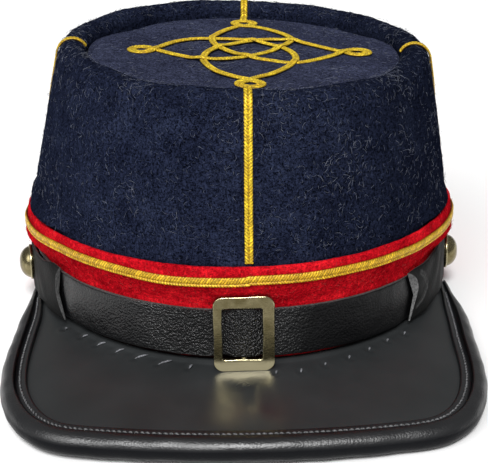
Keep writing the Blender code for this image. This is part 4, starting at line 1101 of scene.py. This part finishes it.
# the view of the photograph: places in mm, the rest in its pixels
view = dict(place=np.array([-15.1, -504.2, 193.4]), target=np.array([2.8, 0.0, 13.94]), roll=radians(-0.608),
            focal=1198.21, middle=(245.09, 231.33), wide=488.0, tall=463.0, sensor=36.0)


def viewAxes():  # ahead, to the right and up, turned by the roll
    ahead = unit(view["target"] - view["place"])
    right = unit(np.cross(ahead, upward))
    up = np.cross(right, ahead)
    c, s = cos(view["roll"]), sin(view["roll"])
    return ahead, c * right + s * up, -s * right + c * up


def onPeak(pixels):
    # where the line of sight through each pixel meets the peak: the height is taken from the peak's
    # nearest grid points and the place worked out anew, a few times over
    ahead, right, up = viewAxes()
    across, down = (np.asarray(pixels, float) - view["middle"]).T[..., None]
    sight = ahead * view["focal"] + across * right - down * up
    flat, height = peakTop.reshape(-1, 3), np.full(len(pixels), -6.0)
    for _ in range(8):
        place = view["place"] + sight * ((height - view["place"][2]) / sight[:, 2])[:, None]
        away = ((place[:, None, :2] - flat[None, :, :2]) ** 2).sum(-1)
        near = np.argsort(away, axis=1)[:, :4]
        weight = 1 / (np.take_along_axis(away, near, 1) + 0.01)
        height = (flat[near, 2] * weight).sum(1) / weight.sum(1)
    return place


# the seam that holds the peak: where each stitch goes into the leather, and where it comes from
whip = dict(hole=0.60, holeWide=1.2, lip=0.16, lipAt=2.4, radius=0.42, arch=0.30, up=(0.0, -0.19, 0.98),
            pixels=(((65, 329), (70, 327)), ((82, 337), (95, 333)), ((97, 345), (115, 340)),
                    ((115, 352), (134, 346)), ((135, 358), (161, 352)), ((158, 364), (186, 357)),
                    ((189, 368), (196, 362)),
                    ((276, 373), (278, 369)), ((301, 372), (302, 366)), ((325, 365), (327, 361)),
                    ((349, 358), (351, 354)), ((369, 350), (371, 345)), ((387, 341), (390, 337)),
                    ((404, 334), (407, 330))))
whipEnds = onPeak([pair[0] for pair in whip["pixels"]])
whipStarts = (whipEnds + onPeak([pair[1] for pair in whip["pixels"]])) / 2


def makePeak():
    # the thread pulls a small dent into the leather at every hole; only the middle, in front of the
    # buckle, is rubbed shiny
    away = np.linalg.norm(peakTop[:, :, None, :2] - whipEnds[:, :2], axis=-1)
    dent = (whip["hole"] * bell(away, whip["holeWide"]) - whip["lip"] * bell(away - whip["lipAt"], 1.0)).sum(-1)
    top = peakTop - dent[..., None] * peakOut
    wall = roundEnds(makeWall(top, peakOut, peak["thick"] - 0.15, plump=0.4), 0.3)
    across, ahead = wall[..., 0] - peak["ridgeAt"], -wall[..., 1]
    shiny = (bell(across, peak["shinyWide"], 4) * ease(ahead, *peak["shinyFrom"])
             * (1 - ease(ahead, *peak["shinyTo"])))
    makePiece("peak", [sheet(wall, dull=peak["dull"] * (1 - shiny[None]))], peakLeather, "peak")


makePeak()

binding = dict(halfTall=4.6, out=4.9, neck=0.7, lip=4.9, lipThick=1.0, slotGap=0.5, taper=34.0, endSize=0.42,
               groove=0.75, rollPoints=30, rollTurn=112, swell=0.07)


def bindingSection(size):
    # (outward, up): a fat roll, a stitched groove behind it, and a lip above and below the plate
    slot = peak["thick"] / 2 + binding["slotGap"]
    lip = slot + binding["lipThick"] * size
    neck, groove, gap = -binding["neck"] * size, binding["groove"], cap["gap"]
    inner = neck - binding["lip"] * size
    turn = np.radians(np.linspace(binding["rollTurn"], -binding["rollTurn"], binding["rollPoints"]))
    roll = stacked(gap + (binding["out"] - gap) * size * np.cos(turn),
                   (slot + (binding["halfTall"] - slot) * size) * np.sin(turn))
    above = np.array([(inner, slot + 0.02), (inner - 0.12, slot + 0.25 * (lip - slot)),
                      (inner - 0.08, slot + 0.7 * (lip - slot)), (inner + 0.2, lip - 0.04), (inner + 0.7, lip),
                      (neck - 1.05 * size, lip - 0.03), (neck - 0.75 * size, lip - 0.35 * groove),
                      (neck - 0.3 * size, lip - groove), (neck + 0.15 * size, lip - groove),
                      (neck + 0.55 * size, lip - 0.3 * groove)])
    return np.vstack([above, roll, (above * (1, -1))[::-1],
                      [(0.0, -slot), (gap, -slot * 0.7), (gap, slot * 0.7), (0.0, slot)]])


def bindingFrame():
    # along the edge, up off the plate, and outward square to both; its size falls towards the ends
    along = unit(np.gradient(peakLine, axis=0))
    plate = unit(peakLine - peakRoot(peakLine, peak["bend"]))
    up = unit(np.cross(along, -plate))
    up *= np.sign(up[:, 2:3])
    outward = np.cross(along, up)
    outward *= np.sign(np.sum(outward * plate, 1, keepdims=True))
    toEnd = np.minimum(peakLengths, peakLengths[-1] - peakLengths)
    return outward, up, binding["endSize"] + (1 - binding["endSize"]) * ease(toEnd, 0.0, binding["taper"])


bindingOut, bindingUp, bindingSize = bindingFrame()


def makeBinding():
    # the section carried along the peak's edge, smaller towards its ends, dull below
    small, large = bindingSection(binding["endSize"]), bindingSection(1.0)
    share = ((bindingSize - binding["endSize"]) / (1 - binding["endSize"]))[:, None, None]
    section = small + (large - small) * share
    away = section[..., :1] * bindingOut[:, None] + section[..., 1:] * bindingUp[:, None]
    grid = peakLine[:, None] + away
    swell = binding["swell"] * softNoise(grid, 13.0, 71) * (section[..., 0] > 0.2)
    grid = grid + swell[..., None] * unit(away + 1e-6)
    facing = unit(stacked(np.clip(section[..., 0] - 0.3, 0.0, None), section[..., 1]) + 1e-6)
    dull = (1 - ease(facing[..., 1], 0.32, 0.36)) * (section[..., 0] > 0.3)
    makePiece("peakBinding", [sheet(roundEnds(grid, 0.25), dull=np.pad(dull, ((3, 3), (0, 0)), "edge")[None])],
              rollLeather, "peak_binding")


makeBinding()


# threads
def makeRods(path, out, thick, sides):
    # many lines, (rods, rings, 3), each with a round of points square to it
    along = unit(np.gradient(path, axis=1))
    across = unit(np.cross(along, out[:, None]))
    up = np.cross(across, along)
    turns = (np.arange(sides) * 2 * pi / sides)[None, None, :, None]
    spokes = np.cos(turns) * across[:, :, None] + np.sin(turns) * up[:, :, None]
    return path[:, :, None] + thick[..., None, None] * spokes


def makeStitches(name, start, end, out, finish, radius, arch, rings=7, sides=6):
    # short rods, thin at both ends, that rise in an arch between their two points
    t = np.linspace(0, 1, rings)[None, :]
    path = (start[:, None] + (end - start)[:, None] * t[..., None]
            + arch * np.sin(pi * t)[..., None] * out[:, None])
    thick = radius * np.sqrt(np.clip(np.sin(pi * np.clip(t, 0.04, 0.96)), 0.05, 1))
    makePiece(name, [sheet(makeRods(path, out, thick, sides))], finish)


seam = dict(pitch=2.0, length=1.75, slant=0.5, radius=0.42, arch=0.3, inside=2.6, fromEnd=12.0, sunk=0.12)


def makeBindingStitches():
    # one short stitch after another on the lip, above the plate, each a little turned
    run = peakLengths[-1] - 2 * seam["fromEnd"]
    count = int(run / seam["pitch"])
    draw = np.random.default_rng(81)
    middle = seam["fromEnd"] + (np.arange(count) + 0.5) * run / count + draw.uniform(-0.15, 0.15, count)
    shift = seam["slant"] * (1 + 0.3 * draw.normal(size=count))

    def onGroove(length, shift):  # the place at a length of the edge, shifted across the lip
        place, outward, up, size = (readAt(length, peakLengths, part)
                                    for part in (peakLine, bindingOut, bindingUp, bindingSize[:, None]))
        lip = peak["thick"] / 2 + binding["slotGap"] + binding["lipThick"] * size
        across = -(binding["neck"] + seam["inside"]) * size + shift[:, None]
        return place + across * outward + (lip - seam["sunk"]) * up, up

    start, up = onGroove(middle - seam["length"] / 2, -shift / 2)
    end = onGroove(middle + seam["length"] / 2, shift / 2)[0]
    makeStitches("bindingStitches", start, end, unit(up), blackThread, seam["radius"], seam["arch"])


makeBindingStitches()

whipUp = np.broadcast_to(whip["up"], whipEnds.shape)
makeStitches("whipStitches", whipStarts + 0.1 * whipUp, whipEnds - 0.25 * whipUp, whipUp, greyThread,
             whip["radius"], whip["arch"], rings=12, sides=8)


def pickOnGrid(grid, normal, rows, count, seed, pull):
    # random grid points of some rows, more where pull is larger, moved a little off the grid
    draw = np.random.default_rng(seed)
    part, face = grid[:, rows].reshape(-1, 3), normal[:, rows].reshape(-1, 3)
    weight = pull(part) if pull else np.ones(len(part))
    chosen = draw.choice(len(part), count, p=weight / weight.sum())
    return part[chosen] + 0.4 * draw.uniform(-1, 1, (count, 3)) * (1 - np.abs(face[chosen])), face[chosen]


def makeHairs(name, roots, normals, finish, seed, reach, radius, stand):
    # fine hairs, each a bent line of four steps that leaves its root at a random turn, lies nearly
    # flat and curls; three-sided and thin at both ends
    draw = np.random.default_rng(seed)
    count, rings = len(roots), 5
    turn, bend = draw.uniform(0, 2 * pi, count), draw.normal(0, 1.3, count)
    length = draw.uniform(*reach, count)[:, None]
    lean = stand * draw.uniform(0, 1, count)[:, None] ** 3
    side = unit(np.cross(normals, unit(draw.normal(size=(count, 3)))))
    other = np.cross(normals, side)
    t = np.linspace(0, 1, rings)[None, :]
    heading = (turn[:, None] + bend[:, None] * t ** 1.5)[..., None]
    steps = np.cos(heading) * side[:, None] + np.sin(heading) * other[:, None]
    steps = steps * (length / (rings - 1))[..., None]
    rise = 0.10 + lean * np.sin(pi * (0.12 + 0.6 * t)) * length * 0.45
    path = roots[:, None] + np.cumsum(steps, axis=1) + rise[..., None] * normals[:, None]
    thick = (radius * draw.uniform(0.6, 1.3, count)[:, None]
             * np.sqrt(np.clip(np.sin(pi * np.clip(t, 0.06, 0.94)), 0.1, 1)))
    makePiece(name, [sheet(makeRods(path, normals, thick, 3))], finish)


def lintPull(places):  # patchy: lint gathers in some places
    return np.clip(1 + 0.9 * softNoise(places, 30.0, 93), 0.1, None)


tipUp = gridNormals(tipTop.transpose(1, 0, 2), True, upward).transpose(1, 0, 2)
crownRows = slice(crown["bandRows"] + 1, crown["bandRows"] + crown["sideRows"] + 18)
hairs = dict(
    crownHairs=dict(on=(crownGrid, crownNormal, crownRows), count=2200, seeds=(91, 92), pull=lintPull,
                    finish=blueWool, slot="navy_felt", reach=(1.0, 3.8), radius=0.042, stand=0.8),
    crownNapHairs=dict(on=(crownGrid, crownNormal, crownRows), count=3500, seeds=(94, 95), pull=None,
                       finish=navyWool, slot="navy_felt", reach=(0.9, 2.4), radius=0.060, stand=1.1),
    tipHairs=dict(on=(tipTop, tipUp, slice(0, None)), count=800, seeds=(96, 97), pull=lintPull,
                  finish=blueWool, slot="navy_felt", reach=(1.0, 3.6), radius=0.040, stand=0.6),
    bandHairs=dict(on=(bandGrid, bandNormal, slice(12, None)), count=2200, seeds=(98, 99), pull=None,
                   finish=redWool, slot="red_felt", reach=(0.8, 2.0), radius=0.060, stand=1.1))
for name, hair in hairs.items():
    roots, normals = pickOnGrid(*hair["on"], hair["count"], hair["seeds"][0], hair["pull"])
    makeHairs(name, roots, normals, hair["finish"], hair["seeds"][1],
              hair["reach"], hair["radius"], hair["stand"])
print("threads and hairs are laid")


# camera, floor and light
def placeCamera():  # at the photograph's place, with its lens and its off-centre middle
    ahead, right, up = (capTurn @ axis for axis in viewAxes())
    camera = bpy.data.cameras.new("camera")
    camera.sensor_width = view["sensor"]
    camera.lens = view["focal"] / view["wide"] * view["sensor"]
    camera.shift_x = (view["wide"] / 2 - view["middle"][0]) / view["wide"]
    camera.shift_y = (view["middle"][1] - view["tall"] / 2) / view["wide"]
    camera.clip_start = 0.01
    holder = addToScene("camera", camera)
    turned = Matrix(np.column_stack([right, up, -ahead]).tolist()).to_4x4()
    holder.matrix_world = Matrix.Translation(toWorld(view["place"])) @ turned
    bpy.context.scene.camera = holder


placeCamera()

stage = dict(size=8.0, floor=(0.94, 0.94, 0.94), floorShine=0.1, floorRough=0.9,
             sky=(1.0, 1.0, 1.0), skyStrength=0.26)


def makeFloor():
    # a wide flat sheet under the cap
    half = stage["size"] / 2
    mesh = bpy.data.meshes.new("floor")
    corners = [(-half, -half, 0), (half, -half, 0), (half, half, 0), (-half, half, 0)]
    mesh.from_pydata(corners, [], [(0, 1, 2, 3)])
    material, tree, shader = startFinish("paleFloor")
    fill(tree, shader, {"Base Color": stage["floor"], "Roughness": stage["floorRough"],
                        "Specular IOR Level": stage["floorShine"]})
    mesh.materials.append(material)
    floor = addToScene("floor", mesh)


makeFloor()

# each sun: the side it shines from, its width and its power
suns = dict(key=((-0.025, -0.66, 0.80), radians(17), 2.8), fill=((-0.60, -0.70, 0.78), radians(40), 1.35))
for name, (side, width, power) in suns.items():
    sun = bpy.data.lights.new(name + "Lamp", "SUN")
    sun.angle, sun.energy = width, power
    addToScene(name + "Lamp", sun).rotation_euler = (-Vector(side)).to_track_quat("-Z", "Y").to_euler()

world = bpy.data.worlds.new("studio")
world.use_nodes = True
fill(world.node_tree, world.node_tree.nodes["Background"],
     {"Color": stage["sky"], "Strength": stage["skyStrength"]})
bpy.context.scene.world = world
bpy.context.scene.view_settings.view_transform = "Standard"
bpy.context.scene.view_settings.look = "None"
print("camera, floor and light are set")
